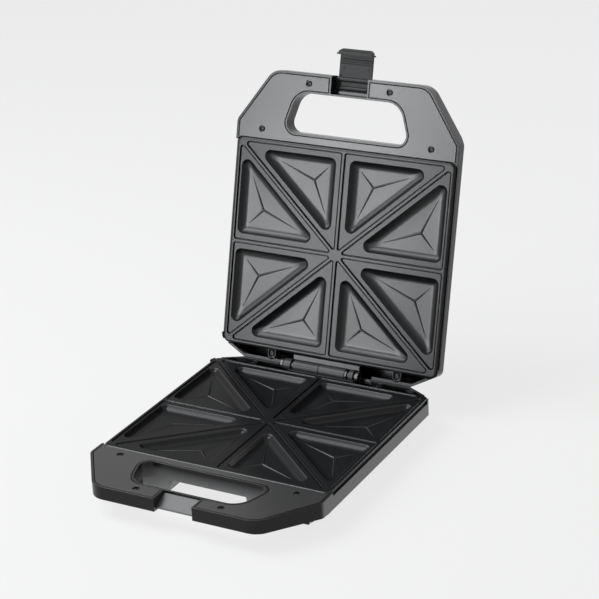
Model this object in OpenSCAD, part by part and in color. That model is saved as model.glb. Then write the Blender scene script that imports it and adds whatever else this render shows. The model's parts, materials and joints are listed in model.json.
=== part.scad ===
// Four-slice sandwich toaster with a hinged lid, shown open.
// Each half is drawn the same way: its parting plane is z = 0, the body hangs below it,
// the centre of its cooking plate is the origin, the handle points to -Y and the hinge is at +Y.
// base_frame() stands the lower half on its feet. lid_frame() turns the upper half over and opens it.

/* [Overall] */
// Width of both shells
body_w = 250; // [240:1:262]
// Front edge of the cooking plates to the front of the handles
handle_len = 71.7; // [68:0.1:80]
// Centre of the cooking plate in front of the origin
cook_forward = 19.6; // [0:0.1:40]
// Angle by which the lid stands open
lid_open = 105; // [98:1:112]
// Rear edge of the cooking plates to the hinge axis
hinge_gap = 11.7; // [10.8:0.1:15]

/* [Shells] */
// Thickness of the moulded walls
wall = 2.5; // [2:0.1:3]
// Front corner chamfer, measured across the width
front_chamfer_x = 38; // [30:1:42]
// Front corner chamfer, measured front to back
front_chamfer_y = 54.3; // [46:0.1:56]
// Rear corner chamfer, as an angle to the rear edge
rear_chamfer_a = 28.6; // [24:0.1:34]
// Hinge axis to the rear ends of the side walls
side_end_in = 15.5; // [12:0.5:22]
// Radius of the front corners
front_corner_r = 19; // [8:1:24]
// Radius of the corners at the ends of the side walls
side_corner_r = 9; // [4:1:12]
// Depth of the lower shell's side walls
base_side_d = 17; // [14:0.5:20]
// Depth of the upper shell's side walls
lid_side_d = 12.5; // [11:0.5:16]
// Depth of the handles at their front
handle_front_d = 13.8; // [13:0.1:15]
// Depth of the handles where they join the body
handle_root_d = 16.5; // [15:0.5:19]
// Depth of the flat outer faces
belly_d = 29.5; // [28:0.5:31]
// Outer face of the lower shell above the top of the rubber feet
foot_gap = 1.5; // [0.5:0.1:8]
// Slope of the outer faces towards the handle
belly_front_a = 22; // [18:1:26]
// Slope of the outer faces towards the sides
belly_side_a = 36; // [30:1:40]
// How far the lower shell reaches behind the hinge axis
base_tail = 11; // [9:0.5:12]
// How far the upper shell reaches behind the hinge axis
lid_tail = 8; // [6:0.5:8.5]
// Height of the straight part of the rear wall above the outer face
rear_foot_h = 3; // [2:0.5:5]
// Half of the gap between the two handles when the lid is shut
rim_gap = 0.3; // [0.2:0.05:0.6]
// How far the side rims lie below the parting plane
side_rim_drop = 3.5; // [3:0.1:4.5]
// Gap between the two rear walls where the lid comes to rest
stop_gap = 0.35; // [0.3:0.05:0.6]

/* [Handles] */
// Front of the handle to the finger hole
hole_front_in = 20.2; // [19.8:0.1:24]
// Cooking plate's front edge to the finger hole
hole_rear_gap = 10; // [8:0.1:14]
// Side of the body to the finger hole, along the hole's rear edge
hole_rear_side = 54.2; // [50:0.1:60]
// Side of the body to the finger hole, along the hole's front edge
hole_front_side = 67.5; // [62:0.1:74]
// Radius of the finger hole's front corners
hole_front_r = 19; // [10:1:21]
// Radius of the finger hole's rear corners
hole_rear_r = 10; // [6:1:11]
// Thickness of the wall round the finger hole
hole_wall = 2.1; // [1.6:0.1:2.6]
// Thickness of the handle covers
cover_t = 2.4; // [2:0.1:3]
// Gap round the handle covers
cover_gap = 0.8; // [0.4:0.05:1]
// Half width of the latch notch
notch_hw = 20.2; // [19:0.1:23]
// Wall between the latch notch and the finger hole
notch_wall = 1.8; // [1.6:0.1:3.4]
// Side of the body to the rear cover screws
cover_screw_rear_side = 29.6; // [27:0.2:35]
// Cooking plate's front edge to the rear cover screws
cover_screw_rear_gap = 10.2; // [9.4:0.2:13]
// Side of the latch notch to the front cover screws
cover_screw_front_side = 25; // [18:0.2:29]
// Front of the handle to the front cover screws
cover_screw_front_in = 10.5; // [9.5:0.1:11.5]

/* [Cooking plates] */
// Side of the body to the cooking plates
plate_side = 1.8; // [1.6:0.1:4]
// Depth of a cooking plate, front to back
plate_d = 217.6; // [206:0.2:226]
// Radius of the cooking plate's corners
plate_corner_r = 7; // [4:0.5:10]
// Thickness of the plate's rim
plate_t = 3.4; // [3:0.1:4]
// Half of the gap between the two plates when the lid is shut
plate_gap = 0.1; // [0.05:0.05:0.3]
// Width of the raised rim round a plate
plate_rim = 4; // [3:0.25:5]
// Width of the raised ribs between the cells
rib_w = 2.8; // [2:0.1:3.6]
// How far the flat lands lie below the rim
land_drop = 1; // [0.6:0.1:1.4]
// Land left between a rib's centre and a cell, along a straight rib
cell_margin = 8; // [7:0.25:10]
// Land left between a rib's centre and a cell, along a diagonal rib
cell_diagonal_margin = 7; // [6:0.25:9]
// Distance from the plate's front or rear edge to a cell
cell_end_margin = 10.6; // [9:0.1:13]
// Distance from the plate's side edge to a cell
cell_side_margin = 7; // [6:0.25:10]
// Width of a cell's sloping wall, seen from above
cell_wall_w = 8; // [6:0.25:9]
// Depth of a cell below the rim
cell_d = 6.4; // [5:0.1:7.5]
// Height of a cell's three-armed ridge above its floor
ridge_h = 1; // [0.6:0.1:1.6]
// Width of the ridge at the cell's centre
ridge_w = 3; // [2:0.25:5]
// Radius of a cell's square corner
cell_square_r = 7; // [5:0.5:9]
// Radius of a cell's two sharp corners
cell_sharp_r = 4.2; // [3:0.2:5]
// Thickness of the metal under a cell
cell_floor_t = 2.2; // [1.6:0.1:3]
// Screw tab nearer to the middle, distance from the middle
tab_near_x = 64; // [60:1:68]
// Screw tab farther from the middle, distance from the middle
tab_far_x = 80; // [76:1:84]
// Screw tabs behind the plate's rear edge
tab_out = 4.5; // [4.2:0.1:5]
// Radius of the screw tabs
tab_r = 5; // [4.6:0.1:5.4]

/* [Hinge] */
// Middle of the hinge, from the middle of the body
hinge_mid_x = -6; // [-10:1:10]
// Radius of the hinge barrels
barrel_r = 5.8; // [5.4:0.1:6.2]
// Outer radius of the hollow hinge pin
pin_r = 3.6; // [3:0.1:4]
// Bore radius of the hollow hinge pin
pin_bore_r = 2.4; // [2.2:0.1:2.6]
// Radial clearance of the pin in the upper shell's barrels
pin_clear = 0.05; // [0.02:0.01:0.1]
// Half width of the strip in front of the barrels
hinge_deck_hw = 38; // [30:1:44]
// Length of each long barrel
barrel_len = 29.5; // [24:0.5:32]
// Gap between the two long barrels
barrel_seam = 0.5; // [0.4:0.1:1]
// Groove between the lower shell's long barrel and the upper shell's collar
lid_groove = 2.8; // [2:0.1:4]
// Groove between the upper shell's long barrel and the lower shell's collar
base_groove = 4.7; // [3.6:0.1:5.5]
// Thickness of the washer in the wider groove
washer_t = 2; // [1.4:0.1:2.4]
// Length of the upper shell's collar
lid_collar_len = 8; // [6:0.5:9]
// Length of the lower shell's collar
base_collar_len = 5; // [4:0.5:7]
// Length of a pin end cap
cap_len = 3; // [2.4:0.1:3.6]
// Gap between the upper shell's collar and the pin's cap
lid_cap_gap = 0.9; // [0.6:0.1:1.4]
// Gap between the lower shell's collar and the pin's cap
base_cap_gap = 2.4; // [1:0.1:3]

/* [Latch] */
// Latch pivot behind the front of the handle
latch_pivot_in = 3; // [2.8:0.1:3.6]
// Latch pivot's distance from the parting plane
latch_pivot_z = 12; // [11.4:0.1:12.6]
// Radius of the latch's barrel
latch_barrel_r = 2.5; // [2.3:0.1:2.7]
// Half width of the latch
latch_hw = 18.2; // [16:0.1:18.6]
// Thickness of the latch's plate
latch_t = 3; // [2.4:0.1:3.4]
// Thickness of the latch's hooked lip
latch_lip_t = 6; // [4:0.2:7]
// How far the lip hooks inwards
latch_lip_d = 5.5; // [4:0.25:6]
// Corner chamfers at the latch's tip
latch_chamfer = 2.6; // [1.5:0.1:4]
// Underside of the catch below the parting plane
catch_d = 12.6; // [11.5:0.1:13]
// Thickness of the catch
catch_t = 1.8; // [1.4:0.1:2.2]
// Clearance between the shut latch and the catch
latch_clear = 0.35; // [0.3:0.05:0.6]
// Radius of the latch's pivot pin
latch_pin_r = 1.25; // [1:0.05:1.4]

/* [Heating] */
// Radius of the tubular heaters
heater_r = 3.2; // [2.8:0.1:3.4]
// Half width of a heater loop
heater_hw = 62; // [56:1:66]
// Half depth of a heater loop
heater_hd = 52; // [48:1:56]
// Bend radius of a heater loop
heater_bend_r = 16; // [12:1:20]
// Distance of a heater's two tails from the middle
heater_tail_x = 24; // [20:1:30]
// Thickness of the reflector sheets
reflector_t = 0.8; // [0.6:0.1:1]
// Side of the body to the reflectors
reflector_side = 17; // [15.5:0.5:24]
// Front and rear edges of the cooking plates to the reflectors
reflector_gap = 14.8; // [13:0.2:20]
// Height of the reflectors' turned-up edges
reflector_edge_h = 6; // [4:0.5:7]
// Reflectors below the parting plane
reflector_d = 19; // [18.5:0.1:20]

/* [Feet and fasteners] */
// Side of the body to the feet
foot_side = 28; // [27:1:34]
// Cooking plate's front edge to the front feet
foot_front_gap = 2.8; // [-2:0.2:8]
// Cooking plate's rear edge to the rear feet
foot_rear_gap = 20.8; // [17:0.2:28]
// Side of the body to the inner end of the moulded legs over the front feet
leg_side = 79.5; // [72:0.5:84]
// Radius of the rubber feet
foot_r = 8; // [7:0.5:9]
// Height of the rubber feet
foot_h = 3; // [2.5:0.1:4]
// Shank radius of the screws
screw_r = 1.5; // [1.3:0.05:1.6]
// Head radius of the screws
screw_head_r = 2.7; // [2.5:0.05:3]
// Head height of the screws
screw_head_h = 1.3; // [1.1:0.05:1.5]
// Width of the cross recess in a screw's head
cross_w = 0.8; // [0.6:0.05:1]
// Radius of the counterbores that the screw heads sit in
counterbore_r = 3.5; // [3.2:0.05:3.6]

/* [Hidden] */

$fn = 64;
black = [0.07, 0.07, 0.075];
satin_black = [0.13, 0.13, 0.135];
plate_grey = [0.2, 0.2, 0.21];
latch_grey = [0.25, 0.25, 0.26];
catch_grey = [0.5, 0.5, 0.51];
steel = [0.72, 0.72, 0.74];
rubber_grey = [0.16, 0.16, 0.16];
over = 1;

hw = body_w / 2;
part_h = belly_d + foot_gap + foot_h;
plate_hw = hw - plate_side;
plate_hd = plate_d / 2;
front_reach = plate_hd + handle_len;
reach = 2 * front_reach;
hinge_y = plate_hd + hinge_gap;
side_back = hinge_y - side_end_in;
hole_front = front_reach - hole_front_in;
hole_rear = plate_hd + hole_rear_gap;
hole_rear_hw = hw - hole_rear_side;
hole_front_hw = hw - hole_front_side;
notch_rear = hole_front + notch_wall;
reflector_hw = hw - reflector_side;
reflector_hd = plate_hd - reflector_gap;
tab_y = plate_hd + tab_out;
plate_z = -plate_gap;
plate_under = plate_z - plate_t;
land_z = plate_z - land_drop;
plate_seat = 1.4;
plate_fit = 0.5;
cell_bottom = -cell_d - cell_floor_t;
heater_seat = 0.05;
heater_z = cell_bottom - heater_seat - heater_r;
cover_rear = plate_hd + plate_fit;
cover_top = -rim_gap;
cover_under = cover_top - cover_t;
partition_t = 3.2;
partition_rear = plate_hd - plate_seat;
deck_d = 8;
floor_z = wall - belly_d;
half_open = lid_open / 2;
pivot_y = latch_pivot_in - front_reach;
boss_r = 3.9;
screw_play = 0.2;
head_sink = 0.3;
cross_reach = 0.6;

// Outline helpers. Outlines are convex and run counterclockwise, and d moves them inwards.

function unit(v) = v / norm(v);
function edge_normal(points, k) =
    let (along = unit(points[(k + 1) % len(points)] - points[k % len(points)]))
    [-along.y, along.x];
function moved_corner(points, k, d) =
    let (
        before = edge_normal(points, k + len(points) - 1),
        after = edge_normal(points, k)
    )
    points[k] + (before + after) * d / (1 + before * after);

// A convex outline whose corners are true arcs, moved inwards with its arcs kept concentric
module rounded(points, radii, d = 0) {
    last = len(points) - 1;
    r = [for (k = [0 : last]) max(radii[k] - d, 0.6)];
    polygon([
        for (k = [0 : last])
            for (n = [edge_normal(points, k + last), edge_normal(points, k)])
                moved_corner(points, k, d + r[k]) - n * r[k]
    ]);
    for (k = [0 : last])
        translate(moved_corner(points, k, d + r[k]))
            circle(r[k]);
}

// The same outline as a ring of points at one height, for solids whose walls slope
ring_steps = 5;
ring_min_r = 1;
function ring(points, radii, d, z) = [
    for (k = [0 : len(points) - 1])
        let (
            r = max(radii[k] - d, ring_min_r),
            before = edge_normal(points, k + len(points) - 1),
            turn = acos(before * edge_normal(points, k)),
            from = atan2(before.y, before.x),
            middle = moved_corner(points, k, d + r)
        )
        for (j = [0 : ring_steps])
            [
                middle.x - r * cos(from + turn * j / ring_steps),
                middle.y - r * sin(from + turn * j / ring_steps),
                z
            ]
];

// A solid between rings that are listed from the top down
module ring_stack(rings) {
    n = len(rings[0]);
    last = len(rings) - 1;
    polyhedron(
        points = [for (r = rings) for (p = r) p],
        faces = [
            [for (j = [n - 1 : -1 : 0]) j],
            for (i = [0 : last - 1])
                for (j = [0 : n - 1])
                    each [
                        [i * n + j, i * n + (j + 1) % n, (i + 1) * n + (j + 1) % n],
                        [i * n + j, (i + 1) * n + (j + 1) % n, (i + 1) * n + j]
                    ],
            [for (j = [0 : n - 1]) last * n + j]
        ]
    );
}

// A slab between two heights with the outline of its children
module layer(low, high) {
    translate([0, 0, low])
        linear_extrude(high - low)
            children();
}

// An outline drawn as (y, z) and run across the body, from -half_w to half_w
module across(half_w) {
    translate([-half_w, 0, 0])
        rotate([90, 0, 90])
            linear_extrude(2 * half_w)
                children();
}

module behind(y) {
    translate([-body_w, y])
        square([2 * body_w, 2 * reach]);
}

module in_front_of(y) {
    translate([-body_w, y - 2 * reach])
        square([2 * body_w, 2 * reach]);
}

module both_sides() {
    children();
    mirror([1, 0, 0])
        children();
}

module four_quarters() {
    both_sides() {
        children();
        mirror([0, 1, 0])
            children();
    }
}

// Frames

module base_frame() {
    translate([0, -cook_forward, part_h])
        children();
}

// Turned over about the front-to-back axis, then opened about the hinge axis
module lid_frame() {
    base_frame()
        translate([0, hinge_y, 0])
            rotate([-lid_open, 0, 0])
                translate([0, -hinge_y, 0])
                    rotate([0, 180, 0])
                        children();
}

// Screws

// A pan head screw with a cross recess, whose head rests on z = 0
module screw(shank) {
    difference() {
        union() {
            translate([0, 0, -shank])
                cylinder(r = screw_r, h = shank + screw_head_h / 2);
            cylinder(r = screw_head_r, h = screw_head_h);
        }
        for (turn = [0, 90])
            rotate([0, 0, turn])
                translate([-cross_reach * screw_head_r, -cross_w / 2, screw_head_h / 3])
                    cube([2 * cross_reach * screw_head_r, cross_w, screw_head_h]);
    }
}

// Screws standing on z, one at each place
module screws_at(places, z, shank) {
    for (at = places)
        translate([at.x, at.y, z])
            screw(shank);
}

// The hole for a screw's shank and, above z, for its head
module screw_hole(z, depth) {
    translate([0, 0, z - depth])
        cylinder(r = screw_r + screw_play, h = depth + over);
    translate([0, 0, z])
        cylinder(r = counterbore_r, h = depth + 2 * over);
}

// Shell outlines

function shell_rear_hw(tail) = hw - (hinge_y + tail - side_back) / tan(rear_chamfer_a);
function shell_points(tail) = [
    [-hw, front_chamfer_y - front_reach],
    [front_chamfer_x - hw, -front_reach],
    [hw - front_chamfer_x, -front_reach],
    [hw, front_chamfer_y - front_reach],
    [hw, side_back],
    [shell_rear_hw(tail), hinge_y + tail],
    [-shell_rear_hw(tail), hinge_y + tail],
    [-hw, side_back]
];
shell_radii = [
    side_corner_r, front_corner_r, front_corner_r, side_corner_r,
    side_corner_r, side_corner_r, side_corner_r, side_corner_r
];

module shell_plan(tail, d) {
    rounded(shell_points(tail), shell_radii, d);
}

// Seen from the side: shallow handle, sloping throat, flat outer face, upright rear wall.
// The cavity is the same outline lifted by the wall.
module side_profile(tail, lift) {
    belly_front = (belly_d - handle_root_d) / tan(belly_front_a) - hole_rear;
    rear = hinge_y + tail;
    across(body_w)
        polygon([
            [-front_reach - over, 2 * over],
            [-front_reach - over, lift - handle_front_d],
            [-hole_rear, lift - handle_root_d],
            [belly_front, lift - belly_d],
            [rear - rear_foot_h, lift - belly_d],
            [rear + over, lift - belly_d + rear_foot_h + over],
            [rear + over, 2 * over]
        ]);
}

// Seen from the front: upright side walls and sloping outer corners
module front_profile(side_d, lift) {
    belly_hw = hw - (belly_d - side_d) / tan(belly_side_a);
    rise = over * tan(belly_side_a);
    rotate([90, 0, 0])
        translate([0, 0, -reach])
            linear_extrude(2 * reach)
                polygon([
                    [-hw - over, 2 * over],
                    [-hw - over, lift - side_d + rise],
                    [-belly_hw, lift - belly_d],
                    [belly_hw, lift - belly_d],
                    [hw + over, lift - side_d + rise],
                    [hw + over, 2 * over]
                ]);
}

module shell_form(tail, side_d, d) {
    intersection() {
        layer(-belly_d - over, over)
            shell_plan(tail, d);
        side_profile(tail, d);
        front_profile(side_d, d);
    }
}

// The space behind the leaning rear wall. Both halves lean by half of the opening angle,
// so their rear walls meet and hold the lid when it is fully open.
module behind_rear_wall(inwards) {
    foot = hinge_y - (stop_gap / 2 + inwards) / sin(half_open);
    far = 3 * belly_d;
    across(body_w)
        polygon([
            [foot, 2 * over],
            [foot, 0],
            [foot + far * cos(half_open), -far * sin(half_open)],
            [foot + 2 * far, -far * sin(half_open)],
            [foot + 2 * far, 2 * over]
        ]);
}

hole_points = [
    [-hole_rear_hw, -hole_rear],
    [-hole_front_hw, -hole_front],
    [hole_front_hw, -hole_front],
    [hole_rear_hw, -hole_rear]
];
hole_radii = [hole_rear_r, hole_front_r, hole_front_r, hole_rear_r];

module finger_hole(outset) {
    rounded(hole_points, hole_radii, -outset);
}

module latch_notch(outset) {
    translate([-notch_hw - outset, -reach])
        square([2 * (notch_hw + outset), reach - notch_rear + outset]);
}

plate_points = [
    [-plate_hw, -plate_hd], [plate_hw, -plate_hd],
    [plate_hw, plate_hd], [-plate_hw, plate_hd]
];
plate_radii = [for (k = [0 : 3]) plate_corner_r];

module plate_outline(outset) {
    rounded(plate_points, plate_radii, -outset);
}

tabs = [[-tab_far_x, tab_y], [tab_near_x, tab_y]];
tab_drop = 0.3;
tab_bore_drop = 2;

module tab_outline(outset) {
    for (at = tabs) {
        translate(at)
            circle(tab_r + outset);
        translate([at.x - tab_r - outset, plate_hd - plate_seat])
            square([2 * (tab_r + outset), tab_out + plate_seat]);
    }
}

cover_screws = [
    for (side = [-1, 1])
        each [
            [side * (hw - cover_screw_rear_side), -plate_hd - cover_screw_rear_gap],
            [side * (notch_hw + cover_screw_front_side), cover_screw_front_in - front_reach]
        ]
];
cover_screw_len = 7;
tab_screw_len = 8;
post_in_x = 12;
post_in_y = 14;
reflector_under = -reflector_d - reflector_t;

tongue_x = 60;
tongue_w = 12;
tongue_len = 4;
tongue_t = 2;
tongue_play = 0.4;
side_rim_front = 3;
side_rim_rear = 10;

// Shell pieces

module shell_chambers(tail, side_d) {
    difference() {
        intersection() {
            shell_form(tail, side_d, wall);
            union() {
                layer(-belly_d, 3 * over)
                    difference() {
                        behind(-partition_rear);
                        translate([-hinge_deck_hw, partition_rear - plate_seat])
                            square([2 * hinge_deck_hw, reach]);
                    }
                layer(-belly_d, -deck_d)
                    behind(-partition_rear);
            }
        }
        behind_rear_wall(wall);
    }
    difference() {
        intersection() {
            shell_form(tail, side_d, wall);
            layer(-belly_d, 3 * over)
                in_front_of(-partition_rear - partition_t);
        }
        layer(-belly_d - over, 4 * over) {
            finger_hole(hole_wall);
            latch_notch(hole_wall);
        }
    }
}

// Columns that the cover, the plate's tabs and the reflector stand on
module shell_columns(tail, side_d) {
    intersection() {
        shell_form(tail, side_d, wall / 2);
        translate([0, 0, -belly_d]) {
            for (at = cover_screws)
                translate(at)
                    cylinder(r = boss_r, h = belly_d + cover_under);
            for (at = tabs)
                translate(at)
                    cylinder(r = boss_r, h = belly_d + plate_under);
            four_quarters()
                translate([reflector_hw - post_in_x, reflector_hd - post_in_y, 0])
                    cylinder(r = boss_r, h = belly_d + reflector_under);
        }
    }
}

// Where the cover lies in the handle
module cover_outline(tail, gap) {
    difference() {
        intersection() {
            shell_plan(tail, wall + gap);
            in_front_of(-cover_rear);
        }
        finger_hole(hole_wall + gap);
        latch_notch(hole_wall + gap);
    }
}

module shell_cuts(tail) {
    layer(-rim_gap, 3 * over)
        square(2 * reach, center = true);
    layer(plate_under, 3 * over) {
        plate_outline(plate_fit);
        tab_outline(plate_fit);
    }
    layer(-side_rim_drop, 3 * over)
        translate([-body_w, side_rim_front - plate_hd])
            square([2 * body_w, plate_d - side_rim_front - side_rim_rear]);
    layer(-belly_d - over, 3 * over) {
        finger_hole(0);
        latch_notch(0);
    }
    layer(cover_under, 3 * over)
        cover_outline(tail, 0);
    both_sides()
        translate([
            tongue_x - tongue_w / 2 - tongue_play,
            -plate_hd - tongue_len - tongue_play,
            plate_under - tongue_t - tongue_play
        ])
            cube([tongue_w + 2 * tongue_play, 2 * tongue_len, tongue_t + tongue_play + belly_d / 2]);
    for (at = cover_screws)
        translate([at.x, at.y, cover_under - cover_screw_len])
            cylinder(r = screw_r, h = cover_screw_len + over);
    for (at = tabs)
        translate([at.x, at.y, plate_under - tab_screw_len])
            cylinder(r = screw_r, h = tab_screw_len + over);
    hinge_space();
}

// Hinge. Spans along the hinge axis are [start, length], measured from its middle.

base_barrel = [-barrel_seam / 2 - barrel_len, barrel_len];
lid_barrel = [barrel_seam / 2, barrel_len];
lid_collar = [base_barrel[0] - lid_groove - lid_collar_len, lid_collar_len];
base_collar = [barrel_seam / 2 + barrel_len + base_groove, base_collar_len];
lid_cap = [lid_collar[0] - lid_cap_gap - cap_len, cap_len];
base_cap = [base_collar[0] + base_collar_len + base_cap_gap, cap_len];
pin_span = [lid_cap[0], base_cap[0] + cap_len - lid_cap[0]];
washer_gap = 0.3;
washer = [lid_barrel[0] + barrel_len + washer_gap, washer_t];
cap_step = 0.5;
cap_r = barrel_r - cap_step;
hinge_clear = 0.6;

module along_hinge(r, span) {
    translate([hinge_mid_x + span[0], hinge_y, 0])
        rotate([0, 90, 0])
            cylinder(r = r, h = span[1]);
}

// Room in both halves for all that turns on the hinge axis
module hinge_space() {
    both_sides()
        along_hinge(barrel_r + hinge_clear, [pin_span[0] - 2 * over, pin_span[1] + 4 * over]);
}

// A barrel with the arm that joins it to its half
module knuckle(span, bore_r) {
    difference() {
        union() {
            along_hinge(barrel_r, span);
            difference() {
                translate([hinge_mid_x + span[0], hinge_y - barrel_r, -belly_d / 2])
                    cube([span[1], 2 * barrel_r, belly_d / 2 - rim_gap]);
                behind_rear_wall(0);
            }
        }
        along_hinge(bore_r, [span[0] - over, span[1] + 2 * over]);
    }
}

foot_places = [
    for (side = [-1, 1])
        each [
            [side * (hw - foot_side), foot_front_gap - plate_hd],
            [side * (hw - foot_side), plate_hd - foot_rear_gap]
        ]
];
foot_pad_r = foot_r + 0.6;
foot_top = foot_h - part_h;
foot_screw_len = 8;
foot_pad_top = -handle_root_d;
leg_in = hw - leg_side;
leg_out = hw - foot_side + foot_pad_r;
leg_rear = plate_hd - foot_front_gap - foot_pad_r;
leg_lean_in = 6.5;
leg_lean_out = 3.5;
leg_corner_r = 4;
leg_boss_h = foot_screw_len + 2;

// A leg below the body's front. Its front face carries on the finger hole's rear wall and its
// ends are drafted.
module leg_form(d) {
    top = foot_pad_top + d;
    both_sides()
        intersection() {
            layer(foot_top + d, top)
                rounded([
                    [leg_in - leg_lean_in, -hole_rear],
                    [leg_out + leg_lean_out, -hole_rear],
                    [leg_out + leg_lean_out, -leg_rear],
                    [leg_in - leg_lean_in, -leg_rear]
                ], [leg_corner_r, leg_corner_r, leg_corner_r, leg_corner_r], d);
            rotate([90, 0, 0])
                linear_extrude(reach)
                    polygon([
                        [leg_in + d, foot_top + d],
                        [leg_out - d, foot_top + d],
                        [leg_out + leg_lean_out - d, top],
                        [leg_in - leg_lean_in + d, top]
                    ]);
        }
}

gland_x = -60;
gland_z = 8.7 - belly_d;
gland_r = 3.6;
gland_wall = 1.2;
gland_flange_r = 4.8;
gland_flange_t = 1.8;

module base_shell() {
    color(black)
        base_frame() {
            difference() {
                union() {
                    difference() {
                        union() {
                            shell_form(base_tail, base_side_d, 0);
                            for (at = foot_places)
                                translate([at.x, at.y, foot_top])
                                    cylinder(r = foot_pad_r, h = foot_pad_top - foot_top);
                            leg_form(0);
                        }
                        shell_chambers(base_tail, base_side_d);
                        difference() {
                            leg_form(wall);
                            layer(-belly_d - foot_gap, 0)
                                translate([-body_w, -partition_rear - partition_t])
                                    square([2 * body_w, partition_t]);
                        }
                        behind_rear_wall(0);
                    }
                    shell_columns(base_tail, base_side_d);
                    both_sides()
                        translate([hw - foot_side, foot_front_gap - plate_hd, foot_top])
                            cylinder(r = boss_r, h = leg_boss_h);
                }
                shell_cuts(base_tail);
                for (at = foot_places)
                    translate([at.x, at.y, foot_top - over])
                        cylinder(r = screw_r, h = foot_screw_len + over);
                translate([gland_x, hinge_y, gland_z])
                    rotate([-90, 0, 0])
                        cylinder(r = gland_r, h = 2 * base_tail);
            }
            knuckle(base_barrel, pin_r);
            knuckle(base_collar, pin_r);
        }
}

ledge_w = 3.2;
ledge_t = 1.4;
ledge_gap = 0.4;
ledge_top = ledge_gap + ledge_t - latch_pivot_z;
lens_x = 12;
lens_y = -60;
lens_r = 4;

module lid_shell() {
    color(black)
        lid_frame() {
            difference() {
                union() {
                    difference() {
                        shell_form(lid_tail, lid_side_d, 0);
                        shell_chambers(lid_tail, lid_side_d);
                        behind_rear_wall(0);
                    }
                    shell_columns(lid_tail, lid_side_d);
                }
                shell_cuts(lid_tail);
                both_sides()
                    translate([lens_x, lens_y, -belly_d - over])
                        cylinder(r = lens_r, h = wall + 2 * over);
                translate([-body_w / 2, pivot_y, -latch_pivot_z])
                    rotate([0, 90, 0])
                        translate([0, 0, body_w / 2 - notch_hw - hole_wall - over])
                            cylinder(r = latch_pin_r, h = 2 * (notch_hw + hole_wall + over));
            }
            layer(ledge_top - ledge_t, ledge_top)
                translate([-notch_hw - hole_wall / 2, -notch_rear - ledge_w])
                    square([2 * notch_hw + hole_wall, ledge_w + notch_wall / 2]);
            mirror([1, 0, 0]) {
                knuckle(lid_barrel, pin_r + pin_clear);
                knuckle(lid_collar, pin_r + pin_clear);
            }
        }
}

// Handle covers

cover_head_z = cover_top - screw_head_h - head_sink;

module handle_cover(tail) {
    difference() {
        layer(cover_under, cover_top)
            cover_outline(tail, cover_gap);
        for (at = cover_screws)
            translate(at)
                screw_hole(cover_head_z, cover_t);
    }
}

module base_handle_cover() {
    color(satin_black)
        base_frame()
            handle_cover(base_tail);
}

module lid_handle_cover() {
    color(satin_black)
        lid_frame()
            handle_cover(lid_tail);
}

module handle_screws() {
    screws_at(cover_screws, cover_head_z, cover_head_z - cover_under + cover_screw_len - over);
}

module base_handle_screws() {
    color(steel)
        base_frame()
            handle_screws();
}

module lid_handle_screws() {
    color(steel)
        lid_frame()
            handle_screws();
}

// Cooking plates. Both are the same casting.

plate_slope = plate_hd / plate_hw;
plate_diagonal = norm([plate_hw, plate_hd]) / plate_hw;

// The triangle beside a diagonal that touches the plate's end, in the quarter x > 0, y > 0
function end_triangle(straight, diagonal, edge) =
    let (rise = diagonal * plate_diagonal, far = plate_hd - edge)
    [[straight, straight * plate_slope + rise], [(far - rise) / plate_slope, far], [straight, far]];
// The triangle on the other side of the diagonal, which touches the plate's side
function side_triangle(straight, diagonal, edge) =
    let (rise = diagonal * plate_diagonal, far = plate_hw - edge)
    [[(straight + rise) / plate_slope, straight], [far, straight], [far, far * plate_slope - rise]];

end_cell = end_triangle(cell_margin, cell_diagonal_margin, cell_end_margin);
side_cell = side_triangle(cell_margin, cell_diagonal_margin, cell_side_margin);
end_land = end_triangle(rib_w / 2, rib_w / 2, plate_rim);
side_land = side_triangle(rib_w / 2, rib_w / 2, plate_rim);
end_radii = [cell_sharp_r, cell_sharp_r, cell_square_r];
side_radii = [cell_sharp_r, cell_square_r, cell_sharp_r];
land_radii = [2, 3, 3];
land_draft = 0.3;

// Share of the sloping wall's width and of its depth, from the lip to the floor
cell_curve = [[0, 0], [0.08, 0.03], [0.19, 0.14], [0.68, 0.78], [0.84, 0.95], [1, 1]];
cell_floor = -cell_d;
ridge_share = 0.56;
ridge_sink = 0.05;
boss_out = 2.2;
boss_in = 0.6 * cell_wall_w;
boss_shoulder = 0.6;

// The sunk land round a cell and the cell's own hollow
module cell_hollow(land, points, radii) {
    ring_stack([
        ring(land, land_radii, -land_draft, over),
        ring(land, land_radii, land_draft, land_z),
        for (step = cell_curve)
            ring(points, radii, step[0] * cell_wall_w, land_z + step[1] * (cell_floor - land_z))
    ]);
}

module cell_belly(points, radii) {
    ring_stack([
        ring(points, radii, -boss_out, plate_under + boss_shoulder),
        ring(points, radii, -boss_out, plate_under - boss_shoulder),
        ring(points, radii, boss_in, cell_bottom)
    ]);
}

// The three-armed ridge on a cell's floor: highest and widest at the cell's centre, it runs out
// towards the corners
function incentre(p) =
    let (a = norm(p[1] - p[2]), b = norm(p[2] - p[0]), c = norm(p[0] - p[1]))
    (a * p[0] + b * p[1] + c * p[2]) / (a + b + c);

module cell_ridge(points) {
    middle = incentre(points);
    star = [
        for (k = [0 : 2])
            each [
                middle + ridge_share * (points[k] - middle),
                middle - ridge_w / 2 * unit(points[(k + 2) % 3] - middle)
            ]
    ];
    polyhedron(
        points = [
            for (p = star) [p.x, p.y, cell_floor - over],
            for (p = star) [p.x, p.y, cell_floor - ridge_sink],
            [middle.x, middle.y, cell_floor + ridge_h]
        ],
        faces = [
            [0, 1, 2, 3, 4, 5],
            for (k = [0 : 5])
                each [
                    [k, k + 6, (k + 1) % 6 + 6, (k + 1) % 6],
                    [k + 6, 12, (k + 1) % 6 + 6]
                ]
        ]
    );
}

module cell(land, points, radii) {
    difference() {
        cell_hollow(land, points, radii);
        cell_ridge(points);
    }
}

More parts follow.
